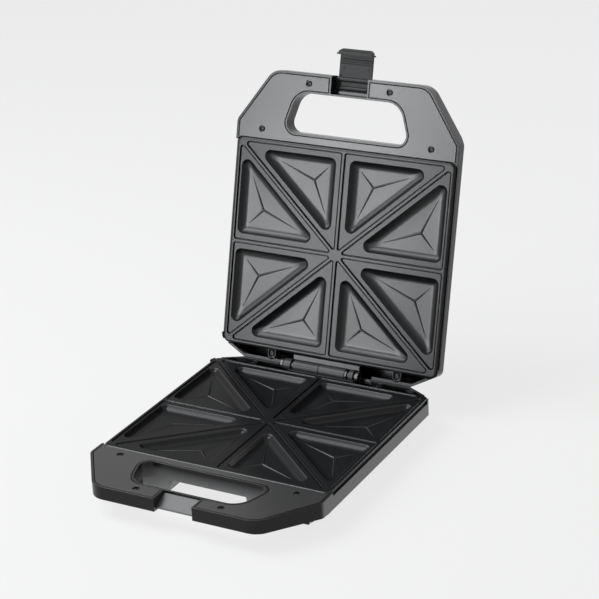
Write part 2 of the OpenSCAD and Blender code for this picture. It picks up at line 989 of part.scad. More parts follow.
clip_reach = 9.5;
clip_t = 0.8;
clip_w = 8;
clip_post_r = 3.5;
clip_screw_len = 5;
clip_top = heater_z + clip_t / 2;
sensor_post_r = 4;
sensor_top = cell_bottom - 0.6;

// Places round the loop where a clip holds the heater, as turns about the plate's centre
module at_clips() {
    for (turn = [0, 180])
        rotate([0, 0, turn])
            translate([heater_hw, 0, 0])
                children();
    rotate([0, 0, -90])
        translate([heater_hd, 0, 0])
            children();
}

module cooking_plate() {
    difference() {
        union() {
            layer(plate_under, plate_z)
                plate_outline(0);
            layer(plate_under, plate_z - tab_drop)
                tab_outline(0);
            both_sides() {
                translate([tongue_x - tongue_w / 2, -plate_hd - tongue_len, plate_under - tongue_t])
                    cube([tongue_w, tongue_len + plate_seat, tongue_t]);
                translate([tongue_x - tongue_w / 2, over - plate_hd, plate_under - tongue_t])
                    cube([tongue_w, 2 * plate_seat, 2 * tongue_t]);
            }
            four_quarters() {
                cell_belly(end_cell, end_radii);
                cell_belly(side_cell, side_radii);
            }
            at_clips()
                translate([-clip_reach, 0, clip_top])
                    cylinder(r = clip_post_r, h = plate_under + plate_t / 2 - clip_top);
            translate([0, 0, sensor_top])
                cylinder(r = sensor_post_r, h = plate_under + plate_t / 2 - sensor_top);
        }
        four_quarters() {
            cell(end_land, end_cell, end_radii);
            cell(side_land, side_cell, side_radii);
        }
        for (at = tabs)
            translate(at)
                screw_hole(plate_z - tab_bore_drop, plate_t);
        at_clips()
            translate([-clip_reach, 0, clip_top - over])
                cylinder(r = screw_r, h = clip_screw_len + over);
    }
}

module base_plate() {
    color(plate_grey)
        base_frame()
            cooking_plate();
}

module lid_plate() {
    color(plate_grey)
        lid_frame()
            cooking_plate();
}

module plate_screws() {
    screws_at(tabs, plate_z - tab_bore_drop, plate_t - tab_bore_drop + tab_screw_len - over);
}

module base_plate_screws() {
    color(steel)
        base_frame()
            plate_screws();
}

module lid_plate_screws() {
    color(steel)
        lid_frame()
            plate_screws();
}

// Heaters

tail_end = reflector_hd - 10;
heater_pin_r = 1.2;
heater_pin_len = 6;

module tube_run(from, to) {
    way = to - from;
    translate([from.x, from.y, heater_z])
        rotate([0, 90, atan2(way.y, way.x)])
            cylinder(r = heater_r, h = norm(way));
}

// A quarter bend about a centre, from the direction a to a + 90
module tube_bend(centre, a) {
    translate([centre.x, centre.y, heater_z])
        rotate([0, 0, a])
            rotate_extrude(angle = 90)
                translate([heater_bend_r, 0])
                    circle(heater_r);
}

module heater() {
    b = heater_bend_r;
    both_sides() {
        tube_run([0, -heater_hd], [heater_hw - b, -heater_hd]);
        tube_bend([heater_hw - b, b - heater_hd], -90);
        tube_run([heater_hw, b - heater_hd], [heater_hw, heater_hd - b]);
        tube_bend([heater_hw - b, heater_hd - b], 0);
        tube_run([heater_tail_x + b, heater_hd], [heater_hw - b, heater_hd]);
        tube_bend([heater_tail_x + b, heater_hd + b], 180);
        tube_run([heater_tail_x, heater_hd + b], [heater_tail_x, tail_end]);
        translate([heater_tail_x, tail_end, heater_z])
            rotate([-90, 0, 0])
                cylinder(r = heater_pin_r, h = heater_pin_len);
    }
}

module base_heater() {
    color(steel)
        base_frame()
            heater();
}

module lid_heater() {
    color(steel)
        lid_frame()
            heater();
}

// A strap under the tube with a flat tab that screws to the plate's post
module heater_clips() {
    at_clips()
        difference() {
            union() {
                rotate([90, 0, 0])
                    translate([0, heater_z, -clip_w / 2])
                        linear_extrude(clip_w)
                            difference() {
                                circle(heater_r + clip_t);
                                circle(heater_r);
                                translate([-body_w / 2, clip_t / 2])
                                    square(body_w);
                            }
                translate([-clip_reach - clip_post_r, -clip_w / 2, clip_top - clip_t])
                    cube([clip_reach + clip_post_r - heater_r - clip_t / 2, clip_w, clip_t]);
            }
            translate([-clip_reach, 0, clip_top - clip_t - over])
                cylinder(r = screw_r + screw_play, h = clip_t + 2 * over);
        }
}

module clip_screws() {
    at_clips()
        translate([-clip_reach, 0, clip_top - clip_t])
            rotate([180, 0, 0])
                screw(clip_t + clip_screw_len - over);
}

module base_heater_clips() {
    color(steel)
        base_frame()
            heater_clips();
}

module lid_heater_clips() {
    color(steel)
        lid_frame()
            heater_clips();
}

module base_clip_screws() {
    color(steel)
        base_frame()
            clip_screws();
}

module lid_clip_screws() {
    color(steel)
        lid_frame()
            clip_screws();
}

// A tray of thin sheet on the shell's posts
module reflector() {
    difference() {
        translate([-reflector_hw, -reflector_hd, reflector_under])
            cube([2 * reflector_hw, 2 * reflector_hd, reflector_t + reflector_edge_h]);
        translate([reflector_t - reflector_hw, reflector_t - reflector_hd, -reflector_d])
            cube([2 * (reflector_hw - reflector_t), 2 * (reflector_hd - reflector_t), belly_d]);
        both_sides()
            translate([heater_tail_x, reflector_hd - over, heater_z])
                rotate([-90, 0, 0])
                    cylinder(r = heater_r + over, h = 2 * over);
    }
}

module base_reflector() {
    color(steel)
        base_frame()
            reflector();
}

module lid_reflector() {
    color(steel)
        lid_frame()
            reflector();
}

// Wiring pieces in the lower half

thermostat_r = 8;
thermostat_h = 4.5;
lug_size = [6, 5, 0.8];
lug_reach = 2;
lug_up = 0.6;

module thermostat() {
    color(catch_grey)
        base_frame()
            translate([0, 0, sensor_top - thermostat_h]) {
                cylinder(r = thermostat_r, h = thermostat_h);
                for (side = [-1, 1])
                    translate([side * (thermostat_r + lug_reach), 0, lug_up + lug_size.z / 2])
                        cube(lug_size, center = true);
            }
}

block_size = [30, 12, 9];
block_y = plate_hd - 10.8;
block_x = -50;
block_ways = 3;
block_screw_r = 2;
block_bore_r = 1.4;
block_screw_up = 3;
block_bore_up = 4;

module terminal_block() {
    color(catch_grey)
        base_frame()
            difference() {
                translate([block_x, block_y, floor_z])
                    cube(block_size);
                for (k = [1 : block_ways])
                    translate([block_x + block_size.x * (k - 0.5) / block_ways, block_y, floor_z]) {
                        translate([0, block_size.y / 2, block_screw_up])
                            cylinder(r = block_screw_r, h = block_size.z);
                        translate([0, -over, block_bore_up])
                            rotate([-90, 0, 0])
                                cylinder(r = block_bore_r, h = block_size.y + 2 * over);
                    }
            }
}

// A bush through the rear wall with a flange on each side of it
module cord_gland() {
    color(black)
        base_frame()
            translate([gland_x, hinge_y + base_tail, gland_z])
                rotate([-90, 0, 0])
                    difference() {
                        union() {
                            translate([0, 0, -wall - gland_flange_t])
                                cylinder(r = gland_r, h = wall + 2 * gland_flange_t);
                            cylinder(r = gland_flange_r, h = gland_flange_t);
                            translate([0, 0, -wall - gland_flange_t])
                                cylinder(r = gland_flange_r, h = gland_flange_t);
                        }
                        translate([0, 0, -wall - gland_flange_t - over])
                            cylinder(r = gland_r - gland_wall, h = wall + 2 * (gland_flange_t + over));
                    }
}

foot_recess = screw_head_h + 0.4;
foot_chamfer = 0.85;

module feet() {
    color(rubber_grey)
        base_frame()
            for (at = foot_places)
                translate([at.x, at.y, -part_h])
                    rotate_extrude()
                        difference() {
                            square([foot_r, foot_h]);
                            square([counterbore_r, foot_recess]);
                            square([screw_r, foot_h + over]);
                            polygon([[foot_r - foot_chamfer, 0], [foot_r, 0], [foot_r, foot_chamfer]]);
                        }
}

module foot_screws() {
    color(steel)
        base_frame()
            for (at = foot_places)
                translate([at.x, at.y, foot_recess - part_h])
                    rotate([180, 0, 0])
                        screw(foot_h - foot_recess + foot_screw_len - over);
}

// Hinge pin and what is on it

module hinge_pin() {
    color(steel)
        base_frame()
            difference() {
                along_hinge(pin_r, pin_span);
                along_hinge(pin_bore_r, [pin_span[0] - over, pin_span[1] + 2 * over]);
            }
}

module ring_on_pin(r, span) {
    difference() {
        along_hinge(r, span);
        along_hinge(pin_r, [span[0] - over, span[1] + 2 * over]);
    }
}

module hinge_caps() {
    color(black)
        base_frame() {
            ring_on_pin(cap_r, lid_cap);
            ring_on_pin(cap_r, base_cap);
        }
}

module hinge_washer() {
    color(steel)
        base_frame()
            ring_on_pin(cap_r, washer);
}

// Indicator lenses in the upper shell's outer face

lens_dome_h = 1.2;
lens_flange_r = 5.2;
lens_flange_t = 1;
lens_wall = 1.2;
lens_window = 0.6;
dome_face_r = 2.4;
dome_rise = 0.1;

module lamp_lens() {
    translate([lens_x, lens_y, -belly_d - lens_dome_h])
        rotate_extrude()
            difference() {
                union() {
                    polygon([[0, 0], [dome_face_r, dome_rise], [lens_r, lens_dome_h], [0, lens_dome_h]]);
                    translate([0, lens_dome_h])
                        square([lens_r, wall]);
                    translate([0, lens_dome_h + wall])
                        square([lens_flange_r, lens_flange_t]);
                }
                translate([0, lens_dome_h + lens_window])
                    square([lens_r - lens_wall, wall + lens_flange_t]);
            }
}

module power_lamp_lens() {
    color([0.75, 0.1, 0.08])
        lid_frame()
            lamp_lens();
}

module ready_lamp_lens() {
    color([0.1, 0.5, 0.15])
        lid_frame()
            mirror([1, 0, 0])
                lamp_lens();
}

// Latch. It turns on a pin across the upper handle's notch and hooks under the catch.

latch_play = 0.3;
notch_inside = notch_hw - latch_play;
latch_bore_r = latch_pin_r + 0.05;
lip_inner = catch_d + latch_pivot_z + latch_clear;
heel_end = notch_rear + 1.2;
heel_bar_y = notch_rear + 6.6;
heel_bar_hw = 15;
heel_r = 2.3;
heel_z = latch_pivot_z + 0.9;
heel_t = 1.8;
lip_land = 1.2;
lip_round = 0.35;
ear_len = 1.6;
grip_r = 0.5;
grip_ys = [4.4, 6.6, 8.8];
mark_r = 1.6;
mark_h = 0.3;
mark_x = 14;
mark_y = 12;

// Outline across the latch in (y, z): the plate outwards, the lip at its end
module latch_profile() {
    tip = pivot_y - lip_inner;
    end = tip - latch_lip_t;
    top = latch_lip_d - latch_pivot_z;
    polygon([
        [pivot_y, -latch_pivot_z],
        [tip, -latch_pivot_z],
        [tip, top],
        [tip - latch_lip_t / 2, top],
        [end + lip_land, top - lip_round * latch_lip_d],
        [end, -latch_pivot_z],
        [end, lip_land - latch_t - latch_pivot_z],
        [end + lip_land, -latch_t - latch_pivot_z],
        [pivot_y, -latch_t - latch_pivot_z]
    ]);
}

// Outline of the latch from the front, with its tip's corners cut off and two ears beside the lip
module latch_plan() {
    tip = pivot_y - lip_inner;
    end = tip - latch_lip_t;
    polygon([
        [-latch_hw, pivot_y],
        [-latch_hw, end + latch_chamfer],
        [latch_chamfer - latch_hw, end],
        [latch_hw - latch_chamfer, end],
        [latch_hw, end + latch_chamfer],
        [latch_hw, pivot_y]
    ]);
    translate([-notch_inside, tip - ear_len])
        square([2 * notch_inside, ear_len]);
}

module latch() {
    color(latch_grey)
        lid_frame()
            difference() {
                union() {
                    intersection() {
                        across(notch_inside)
                            latch_profile();
                        layer(-belly_d, over)
                            latch_plan();
                    }
                    across(notch_inside)
                        translate([pivot_y, -latch_pivot_z])
                            circle(latch_barrel_r);
                    across(notch_inside)
                        translate([pivot_y, -heel_z - heel_t / 2])
                            square([-heel_end - pivot_y, heel_t]);
                    across(heel_bar_hw)
                        translate([-heel_bar_y, -latch_pivot_z])
                            circle(heel_r);
                    for (y = grip_ys)
                        across(latch_hw - grip_r)
                            translate([pivot_y - lip_inner + y, -latch_pivot_z])
                                circle(grip_r);
                    both_sides()
                        translate([mark_x, pivot_y - mark_y, -latch_pivot_z - over])
                            cylinder(r = mark_r, h = mark_h + over);
                }
                across(body_w / 2)
                    translate([pivot_y, -latch_pivot_z])
                        circle(latch_bore_r);
            }
}

module latch_pin() {
    color(steel)
        lid_frame()
            across(notch_hw + hole_wall)
                translate([pivot_y, -latch_pivot_z])
                    circle(latch_pin_r);
}

// A smooth ramp in the lower handle's notch. The latch hooks under its front edge.
catch_front_in = 4.5;
catch_top = 3;
catch_lip = 4;

module latch_catch() {
    front = front_reach - catch_front_in;
    color(catch_grey)
        base_frame()
            across(notch_hw)
                polygon([
                    [-notch_rear, -catch_top],
                    [-front, catch_t - catch_d],
                    [-front, -catch_d],
                    [catch_lip - front, -catch_d],
                    [-notch_rear, -catch_top - 2 * catch_t]
                ]);
}

base_shell();
base_handle_cover();
base_handle_screws();
base_plate();
base_plate_screws();
base_heater();
base_heater_clips();
base_clip_screws();
base_reflector();
thermostat();
terminal_block();
cord_gland();
feet();
foot_screws();
latch_catch();
hinge_pin();
hinge_caps();
hinge_washer();
lid_shell();
lid_handle_cover();
lid_handle_screws();
lid_plate();
lid_plate_screws();
lid_heater();
lid_heater_clips();
lid_clip_screws();
lid_reflector();
power_lamp_lens();
ready_lamp_lens();
latch();
latch_pin();
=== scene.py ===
"""Four-slice sandwich toaster, standing open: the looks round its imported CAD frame."""

from __future__ import annotations

import json
import logging
import math
from dataclasses import dataclass
from enum import Enum
from itertools import product
from typing import Any, Callable, Sequence

import bmesh
import bpy
from mathutils import Matrix, Vector
from mathutils.geometry import tessellate_polygon

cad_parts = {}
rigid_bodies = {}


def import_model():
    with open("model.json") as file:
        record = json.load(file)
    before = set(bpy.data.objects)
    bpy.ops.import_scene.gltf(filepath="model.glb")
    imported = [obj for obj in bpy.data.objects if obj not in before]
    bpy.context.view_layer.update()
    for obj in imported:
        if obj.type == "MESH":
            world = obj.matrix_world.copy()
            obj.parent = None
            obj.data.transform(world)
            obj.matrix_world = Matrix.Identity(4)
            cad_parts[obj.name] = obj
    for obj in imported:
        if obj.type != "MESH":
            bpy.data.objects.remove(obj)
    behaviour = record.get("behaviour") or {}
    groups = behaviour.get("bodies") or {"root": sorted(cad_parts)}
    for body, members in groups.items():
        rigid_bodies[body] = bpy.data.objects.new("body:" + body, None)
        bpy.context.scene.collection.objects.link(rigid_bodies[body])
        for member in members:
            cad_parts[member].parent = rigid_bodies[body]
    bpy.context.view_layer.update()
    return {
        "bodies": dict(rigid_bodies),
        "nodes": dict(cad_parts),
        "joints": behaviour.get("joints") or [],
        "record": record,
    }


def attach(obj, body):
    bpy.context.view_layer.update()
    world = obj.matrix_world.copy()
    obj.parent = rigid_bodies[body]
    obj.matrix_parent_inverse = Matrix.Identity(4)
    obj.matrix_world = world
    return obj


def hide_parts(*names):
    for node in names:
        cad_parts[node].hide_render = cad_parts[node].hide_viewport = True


LOG = logging.getLogger("toaster")
MM = 0.001
Span = tuple[float, float]
Triple = tuple[float, float, float]
Loop = list[bmesh.types.BMVert]

# Directions and colours.
UP: Triple = (0.0, 0.0, 1.0)
DOWN: Triple = (0.0, 0.0, -1.0)
FORWARD: Triple = (0.0, -1.0, 0.0)
SIDEWAYS: Triple = (1.0, 0.0, 0.0)
WHITE: Triple = (1.0, 1.0, 1.0)

# Places that the finishes refer to, in the frame's metres: the lower finger hole, the heights over
# which the light painted at its walls' foot fades out upwards and fades in at the lower shell's
# underside, and the hinge.
HOLE_HALF_W = 0.0725
HOLE_FRONT_Y = -0.168
HOLE_REAR_Y = -0.134
HOLE_FADE_Z: Span = (0.004, 0.03)
BELLY_Z: Span = (0.0041, 0.0047)
AXLE_Y = 0.1009
AXLE_Z = 0.034
BARREL_R = 0.0064
# A place on a plate's top, times the way that plate faces, gives its level.
BASE_PLATE_LEVEL = 0.0339
LID_PLATE_LEVEL = -0.08876
LID_PLATE_WAY: Triple = (0.0, -0.9659, 0.2588)


# ---------- node trees


class Wire:
    """A socket that can be used in Python arithmetic."""

    def __init__(self, sheet: Sheet, socket: bpy.types.NodeSocket) -> None:
        """Wraps a socket.

        Args:
            sheet: The node tree the socket belongs to.
            socket: An output socket that carries a number.
        """
        self.sheet = sheet
        self.socket = socket

    def _math(self, operation: str, *others: Wire | float) -> Wire:
        """Adds one Math node.

        Args:
            operation: The Math node's operation.
            *others: The further inputs.

        Returns:
            The node's value.
        """
        inputs = dict(enumerate((self, *others)))
        return self.sheet.node("ShaderNodeMath", {"operation": operation}, inputs)

    def __add__(self, other: Wire | float) -> Wire:
        """Sum."""
        return self._math("ADD", other)

    def __mul__(self, other: Wire | float) -> Wire:
        """Product."""
        return self._math("MULTIPLY", other)

    def __truediv__(self, other: Wire | float) -> Wire:
        """Quotient."""
        return self._math("DIVIDE", other)

    def __sub__(self, other: Wire | float) -> Wire:
        """Difference."""
        return self._math("SUBTRACT", other)

    def __rsub__(self, other: float) -> Wire:
        """Difference from a number."""
        return (self * -1.0) + other

    __radd__ = __add__
    __rmul__ = __mul__

    def size(self) -> Wire:
        """This value without its sign."""
        return self._math("ABSOLUTE")

    def most(self, other: Wire | float) -> Wire:
        """The larger of two values."""
        return self._math("MAXIMUM", other)

    def clamped(self) -> Wire:
        """This value held between 0 and 1."""
        return self._math("MINIMUM", 1.0)._math("MAXIMUM", 0.0)

    def below(self, limit: float) -> Wire:
        """1 where this value is under the limit, else 0."""
        return self._math("LESS_THAN", limit)

    def beyond(self, limit: float) -> Wire:
        """1 where this value is over the limit, else 0."""
        return self._math("GREATER_THAN", limit)

    def above(self, low: float, high: float) -> Wire:
        """A soft step from 0 at low to 1 at high."""
        return ((self - low) * (1.0 / (high - low))).clamped()


class Sheet:
    """A node tree under construction."""

    def __init__(self, tree: bpy.types.NodeTree) -> None:
        """Takes over an empty tree.

        Args:
            tree: The tree.
        """
        self.tree = tree

    def node(
        self,
        kind: str,
        settings: dict[str, Any] | None = None,
        inputs: dict[Any, Any] | None = None,
        output: int | str = 0,
    ) -> Wire:
        """Adds any node.

        Args:
            kind: The node's type.
            settings: Its properties, set first.
            inputs: Its sockets by name or number, as wires, sockets or plain values.
            output: Which output to hand back.

        Returns:
            The chosen output.
        """
        made = self.tree.nodes.new(kind)
        for key, value in (settings or {}).items():
            setattr(made, key, value)
        for key, value in (inputs or {}).items():
            self._feed(made.inputs[key], value)
        return Wire(self, made.outputs[output])

    def _feed(self, socket: bpy.types.NodeSocket, value: Any) -> None:
        """Links or sets one input.

        Args:
            socket: The input.
            value: A wire or socket to link, or a plain value to set.
        """
        if isinstance(value, Wire):
            self.tree.links.new(value.socket, socket)
        elif isinstance(value, bpy.types.NodeSocket):
            self.tree.links.new(value, socket)
        else:
            socket.default_value = value


class Paint(Sheet):
    """One node material under construction."""

    def __init__(self, name: str) -> None:
        """Starts a material with one shader.

        Args:
            name: The material's name.
        """
        self.material = bpy.data.materials.new(name)
        self.material.use_nodes = True
        super().__init__(self.material.node_tree)
        self.tree.nodes.clear()
        self.shader = self.tree.nodes.new("ShaderNodeBsdfPrincipled")
        self.output = self.tree.nodes.new("ShaderNodeOutputMaterial")
        self.tree.links.new(self.shader.outputs[0], self.output.inputs[0])
        spots = self.tree.nodes.new("ShaderNodeTexCoord")
        self.place, self.normal = spots.outputs["Object"], spots.outputs["Normal"]

    def axis(self, index: int) -> Wire:
        """One coordinate in object space: 0, 1 or 2."""
        return self.node("ShaderNodeSeparateXYZ", None, {"Vector": self.place}, index)

    def along(self, vector: bpy.types.NodeSocket, way: Sequence[float]) -> Wire:
        """How much of a vector runs along a direction of object space."""
        pair = {0: vector, 1: way}
        return self.node("ShaderNodeVectorMath", {"operation": "DOT_PRODUCT"}, pair, "Value")

    def facing(self, way: Sequence[float]) -> Wire:
        """How far the surface faces a direction of object space: 1 for straight."""
        return self.along(self.normal, way)

    def noise(self, scale: float, detail: float, stretch: Sequence[float] = (1, 1, 1)) -> Wire:
        """Noise in object space.

        Args:
            scale: Features in a metre.
            detail: Octaves.
            stretch: Scale along each axis.

        Returns:
            A value near 0.5.
        """
        at = self.node("ShaderNodeMapping", None, {"Vector": self.place, "Scale": stretch})
        inputs = {"Vector": at, "Scale": scale, "Detail": detail}
        return self.node("ShaderNodeTexNoise", None, inputs)

    def blend(self, amount: Wire, low: Wire | Sequence[float], high: Sequence[float]) -> Wire:
        """Mixes two colours.

        Args:
            amount: 0 for low and 1 for high.
            low: The first colour, which may be a mixed one.
            high: The second colour.

        Returns:
            The mixed colour.
        """
        first = low if isinstance(low, Wire) else (*low, 1.0)
        inputs = {"Factor": amount, 6: first, 7: (*high, 1.0)}
        return self.node("ShaderNodeMix", {"data_type": "RGBA"}, inputs, 2)

    def bump(self, height: Wire, strength: float, depth: float, edge: float = 0.0) -> None:
        """Feeds the shader's normal from a height, over softened edges.

        Args:
            height: The height, 0 to 1.
            strength: How much of it shows.
            depth: The height's size in metres.
            edge: Radius in metres over which edges look rounded.
        """
        inputs: dict[Any, Any] = {"Height": height, "Strength": strength, "Distance": depth}
        if edge:
            inputs["Normal"] = self.node("ShaderNodeBevel", {"samples": 6}, {"Radius": edge})
        self.feed("Normal", self.node("ShaderNodeBump", None, inputs))

    def feed(self, name: str, value: Any) -> None:
        """Sets or links one of the shader's sockets."""
        self._feed(self.shader.inputs[name], value)


# ---------- finishes


@dataclass(frozen=True)
class Moulded:
    """Moulded plastic: a base colour, a sheen level and the mould's texture.

    side_gloss coats what faces sideways; bounce paints light reflected from the floor onto the
    foot of the lower finger hole's walls by blending their colour towards white; and satin makes
    the hinge's barrels that much rougher.
    """

    name: str
    colour: Triple
    roughness: float
    grain: float = 2500.0
    grain_depth: float = 0.00002
    grain_strength: float = 0.25
    cloud: float = 0.12
    cloud_scale: float = 9.0
    cloud_sheen: float = 0.12
    dust_scale: float = 420.0
    dust_above: Span = (0.62, 0.8)
    dust_sheen: float = 0.05
    edge: float = 0.0006
    specular: float = 0.5
    side_gloss: float = 0.0
    side_roughness: float = 0.3
    painted_bounce_light: float = 0.0
    bounce_sheen: float = 0.2
    satin: float = 0.0
    barrel_colour: Triple = (0.035, 0.035, 0.036)

    def _painted_light_foot(self, paint: Paint) -> Wire:
        """Finds the walls of the lower finger hole near their foot, where light is painted in.

        Args:
            paint: The material under construction.

        Returns:
            1 at the foot, fading to 0 at the top. The legs below the belly stay at 0.
        """
        across, along, up = (paint.axis(index) for index in range(3))
        inside = across.size().below(HOLE_HALF_W)
        inside = inside * along.beyond(HOLE_FRONT_Y) * along.below(HOLE_REAR_Y)
        walls = paint.facing(FORWARD).most(paint.facing(SIDEWAYS).size()).above(0.1, 0.8)
        return inside * walls * up.above(*BELLY_Z) * (1 - up.above(*HOLE_FADE_Z))

    def _barrels(self, paint: Paint) -> Wire:
        """Finds the barrels round the hinge's axle.

        Args:
            paint: The material under construction.

        Returns:
            1 within the barrels' radius, else 0.
        """
        along, up = paint.axis(1) - AXLE_Y, paint.axis(2) - AXLE_Z
        return 1 - (along * along + up * up).above(BARREL_R**2 * 0.96, BARREL_R**2)

    def material(self) -> bpy.types.Material:
        """Builds the material.

        Returns:
            The finished material.
        """
        paint = Paint(self.name)
        cloud = paint.noise(self.cloud_scale, 3.0)
        grain = paint.noise(self.grain, 2.0)
        dust = paint.noise(self.dust_scale, 4.0).above(*self.dust_above)
        dark = tuple(c * (1 - self.cloud) for c in self.colour)
        light = tuple(c * (1 + self.cloud) + 0.002 for c in self.colour)
        colour = paint.blend(cloud.above(0.3, 0.7), dark, light)
        roughness = self.roughness + (cloud - 0.5) * self.cloud_sheen + dust * self.dust_sheen
        if self.painted_bounce_light:
            foot = self._painted_light_foot(paint)
            # Painted light: near their foot the hole's walls are blended towards white, standing
            # for floor light reflected up into the hole.
            colour = paint.blend(foot * self.painted_bounce_light, colour, WHITE)
            roughness = roughness + foot * self.bounce_sheen
        if self.satin:
            barrels = self._barrels(paint)
            colour = paint.blend(barrels, colour, self.barrel_colour)
            roughness = roughness + barrels * self.satin
        paint.feed("Base Color", colour)
        paint.feed("Roughness", roughness)
        paint.feed("Specular IOR Level", self.specular)
        if self.side_gloss:
            side = paint.facing(SIDEWAYS).size().above(0.9, 0.97)
            fleck = 0.8 + grain.above(0.35, 0.65) * 0.4
            paint.feed("Coat Weight", (side * fleck * self.side_gloss).clamped())
            paint.feed("Coat Roughness", self.side_roughness)
        paint.bump(grain, self.grain_strength, self.grain_depth, self.edge)
        return paint.material


@dataclass(frozen=True)
class NonStick:
    """A fired non-stick coat on cast aluminium, finely speckled.

    Its gloss is a clear coat whose weight goes by height and slope, with one each for lands,
    floors, edges and walls. Depths are in millimetres below the plate's top, which lies where a
    place times way gives level. Each span says where one gloss fades into the next.
    """

    name: str
    way: Triple
    level: float
    floor_gloss: float
    land_gloss: float
    edge_gloss: float
    wall_gloss: float
    colour: Triple = (0.007, 0.0072, 0.0078)
    roughness: float = 0.6
    gloss_roughness: float = 0.3
    speckle: float = 1500.0
    drift_scale: float = 14.0
    spark_above: Span = (0.6, 0.72)
    pit_below: Span = (0.3, 0.42)
    flat_facing: Span = (0.8, 0.985)
    cell_depth: Span = (1.4, 2.4)
    floor_depth: Span = (4.9, 5.4)

    def material(self) -> bpy.types.Material:
        """Builds the material.

        Returns:
            The finished material.
        """
        paint = Paint(self.name)
        speckle = paint.noise(self.speckle, 3.0)
        drift = paint.noise(self.drift_scale, 3.0)
        spark = speckle.above(*self.spark_above)
        pit = 1 - speckle.above(*self.pit_below)
        dark = tuple(c * 0.8 for c in self.colour)
        light = tuple(c * 1.6 + 0.004 for c in self.colour)
        pale = (spark * 0.5 + drift * 0.3).clamped()
        paint.feed("Base Color", paint.blend(pale, dark, light))
        paint.feed("Roughness", self.roughness + (drift - 0.5) * 0.14)
        paint.feed("Specular IOR Level", 0.0)
        depth = (self.level - paint.along(paint.place, self.way)) / MM
        sunk = depth.above(*self.cell_depth)
        wall = sunk * (1 - depth.above(*self.floor_depth))
        flat = self.land_gloss + sunk * (self.floor_gloss - self.land_gloss)
        slope = self.edge_gloss + wall * (self.wall_gloss - self.edge_gloss)
        gloss = slope + paint.facing(self.way).above(*self.flat_facing) * (flat - slope)
        grain = 0.92 + spark * 0.3 - pit * 0.3 + (drift - 0.5) * 0.25
        paint.feed("Coat Weight", (gloss * grain).clamped())
        paint.feed("Coat Roughness", self.gloss_roughness)
        paint.bump(speckle, 0.35, 0.00005)
        return paint.material


@dataclass(frozen=True)
class Metal:
    """Bare or darkened metal with fine drawn lines."""

    name: str
    colour: Triple
    roughness: float
    stretch: Triple = (1, 1, 1)
    edge: float = 0.0002

    def material(self) -> bpy.types.Material:
        """Builds the material.

        Returns:
            The finished material.
        """
        paint = Paint(self.name)
        lines = paint.noise(900.0, 3.0, self.stretch)
        stain = paint.noise(60.0, 3.0)
        dark = tuple(c * 0.7 for c in self.colour)
        bright = (lines * 0.5 + stain * 0.5).above(0.3, 0.7)
        paint.feed("Base Color", paint.blend(bright, dark, self.colour))
        paint.feed("Roughness", self.roughness + (stain - 0.5) * 0.2)
        paint.feed("Metallic", 1.0)
        paint.bump(lines, 0.2, 0.00003, self.edge)
        return paint.material


@dataclass(frozen=True)
class ClearLens:
    """A tinted indicator lens."""

    name: str
    colour: Triple

    def material(self) -> bpy.types.Material:
        """Builds the material.

        Returns:
            The finished material.
        """
        paint = Paint(self.name)
        depth = paint.noise(260.0, 2.0)
        dark = tuple(c * 0.55 for c in self.colour)
        paint.feed("Base Color", paint.blend(depth.above(0.35, 0.65), dark, self.colour))
        paint.feed("Roughness", 0.12 + depth * 0.08)
        paint.feed("Coat Weight", 1.0)
        paint.bump(depth, 0.1, 0.00004, 0.0003)
        return paint.material


class Finish(Enum):
    """Every finish on the toaster."""

    LID_SHELL = Moulded(
        "lid_shell_black", (0.005, 0.005, 0.0055), 0.2, 1400.0, 0.00001, 0.12,
        specular=0.27, satin=0.16,
    )
    # Painted light: bounce whitens the foot of the lower finger hole's walls, standing for light
    # reflected from the floor.
    BASE_SHELL = Moulded(
        "base_shell_black", (0.004, 0.004, 0.0045), 0.2, 1400.0, 0.00001, 0.12,
        specular=0.24, side_gloss=0.75, painted_bounce_light=0.28, satin=0.16,
    )
    COVER = Moulded(
        "cover_satin_black", (0.009, 0.009, 0.0095), 0.3, 1600.0, 0.00002, 0.25,
        edge=0.0004, specular=0.56,
    )
    LATCH = Moulded(
        "latch_dark_grey", (0.008, 0.008, 0.0083), 0.46, 2200.0, 0.00002, 0.3,
        edge=0.0004, specular=0.26,
    )
    CATCH = Moulded(
        "catch_light_grey", (0.1, 0.102, 0.104), 0.45, 1800.0, 0.00001, 0.15,
        edge=0.0004, specular=0.3,
    )
    RUBBER = Moulded("foot_rubber", (0.02, 0.02, 0.02), 0.75, 1500.0, 0.00005, 0.4)
    TERMINAL = Moulded("terminal_moulding", (0.6, 0.59, 0.54), 0.5)
    GLAND = Moulded("gland_plastic", (0.012, 0.012, 0.012), 0.45)
    BASE_PLATE = NonStick(
        "base_non_stick", UP, BASE_PLATE_LEVEL, floor_gloss=0.32, land_gloss=0.32,
        edge_gloss=0.85, wall_gloss=0.35, gloss_roughness=0.25,
    )
    LID_PLATE = NonStick(
        "lid_non_stick", LID_PLATE_WAY, LID_PLATE_LEVEL, floor_gloss=1.0, land_gloss=0.72,
        edge_gloss=0.4, wall_gloss=0.45,
    )
    SCREW = Metal("dark_screw_steel", (0.045, 0.046, 0.048), 0.42)
    BARREL = Moulded(
        "hinge_black", (0.02, 0.02, 0.021), 0.26, 1800.0, 0.00001, 0.15, edge=0.0004
    )
    PIN = Metal("pin_steel", (0.07, 0.07, 0.073), 0.4, (1, 30, 30))
    HEATER = Metal("heater_sheath", (0.42, 0.4, 0.37), 0.5)
    SHEET = Metal("reflector_sheet", (0.75, 0.75, 0.75), 0.32, (1, 12, 1))
    RED = ClearLens("red_lens", (0.55, 0.03, 0.02))
    GREEN = ClearLens("green_lens", (0.04, 0.36, 0.08))


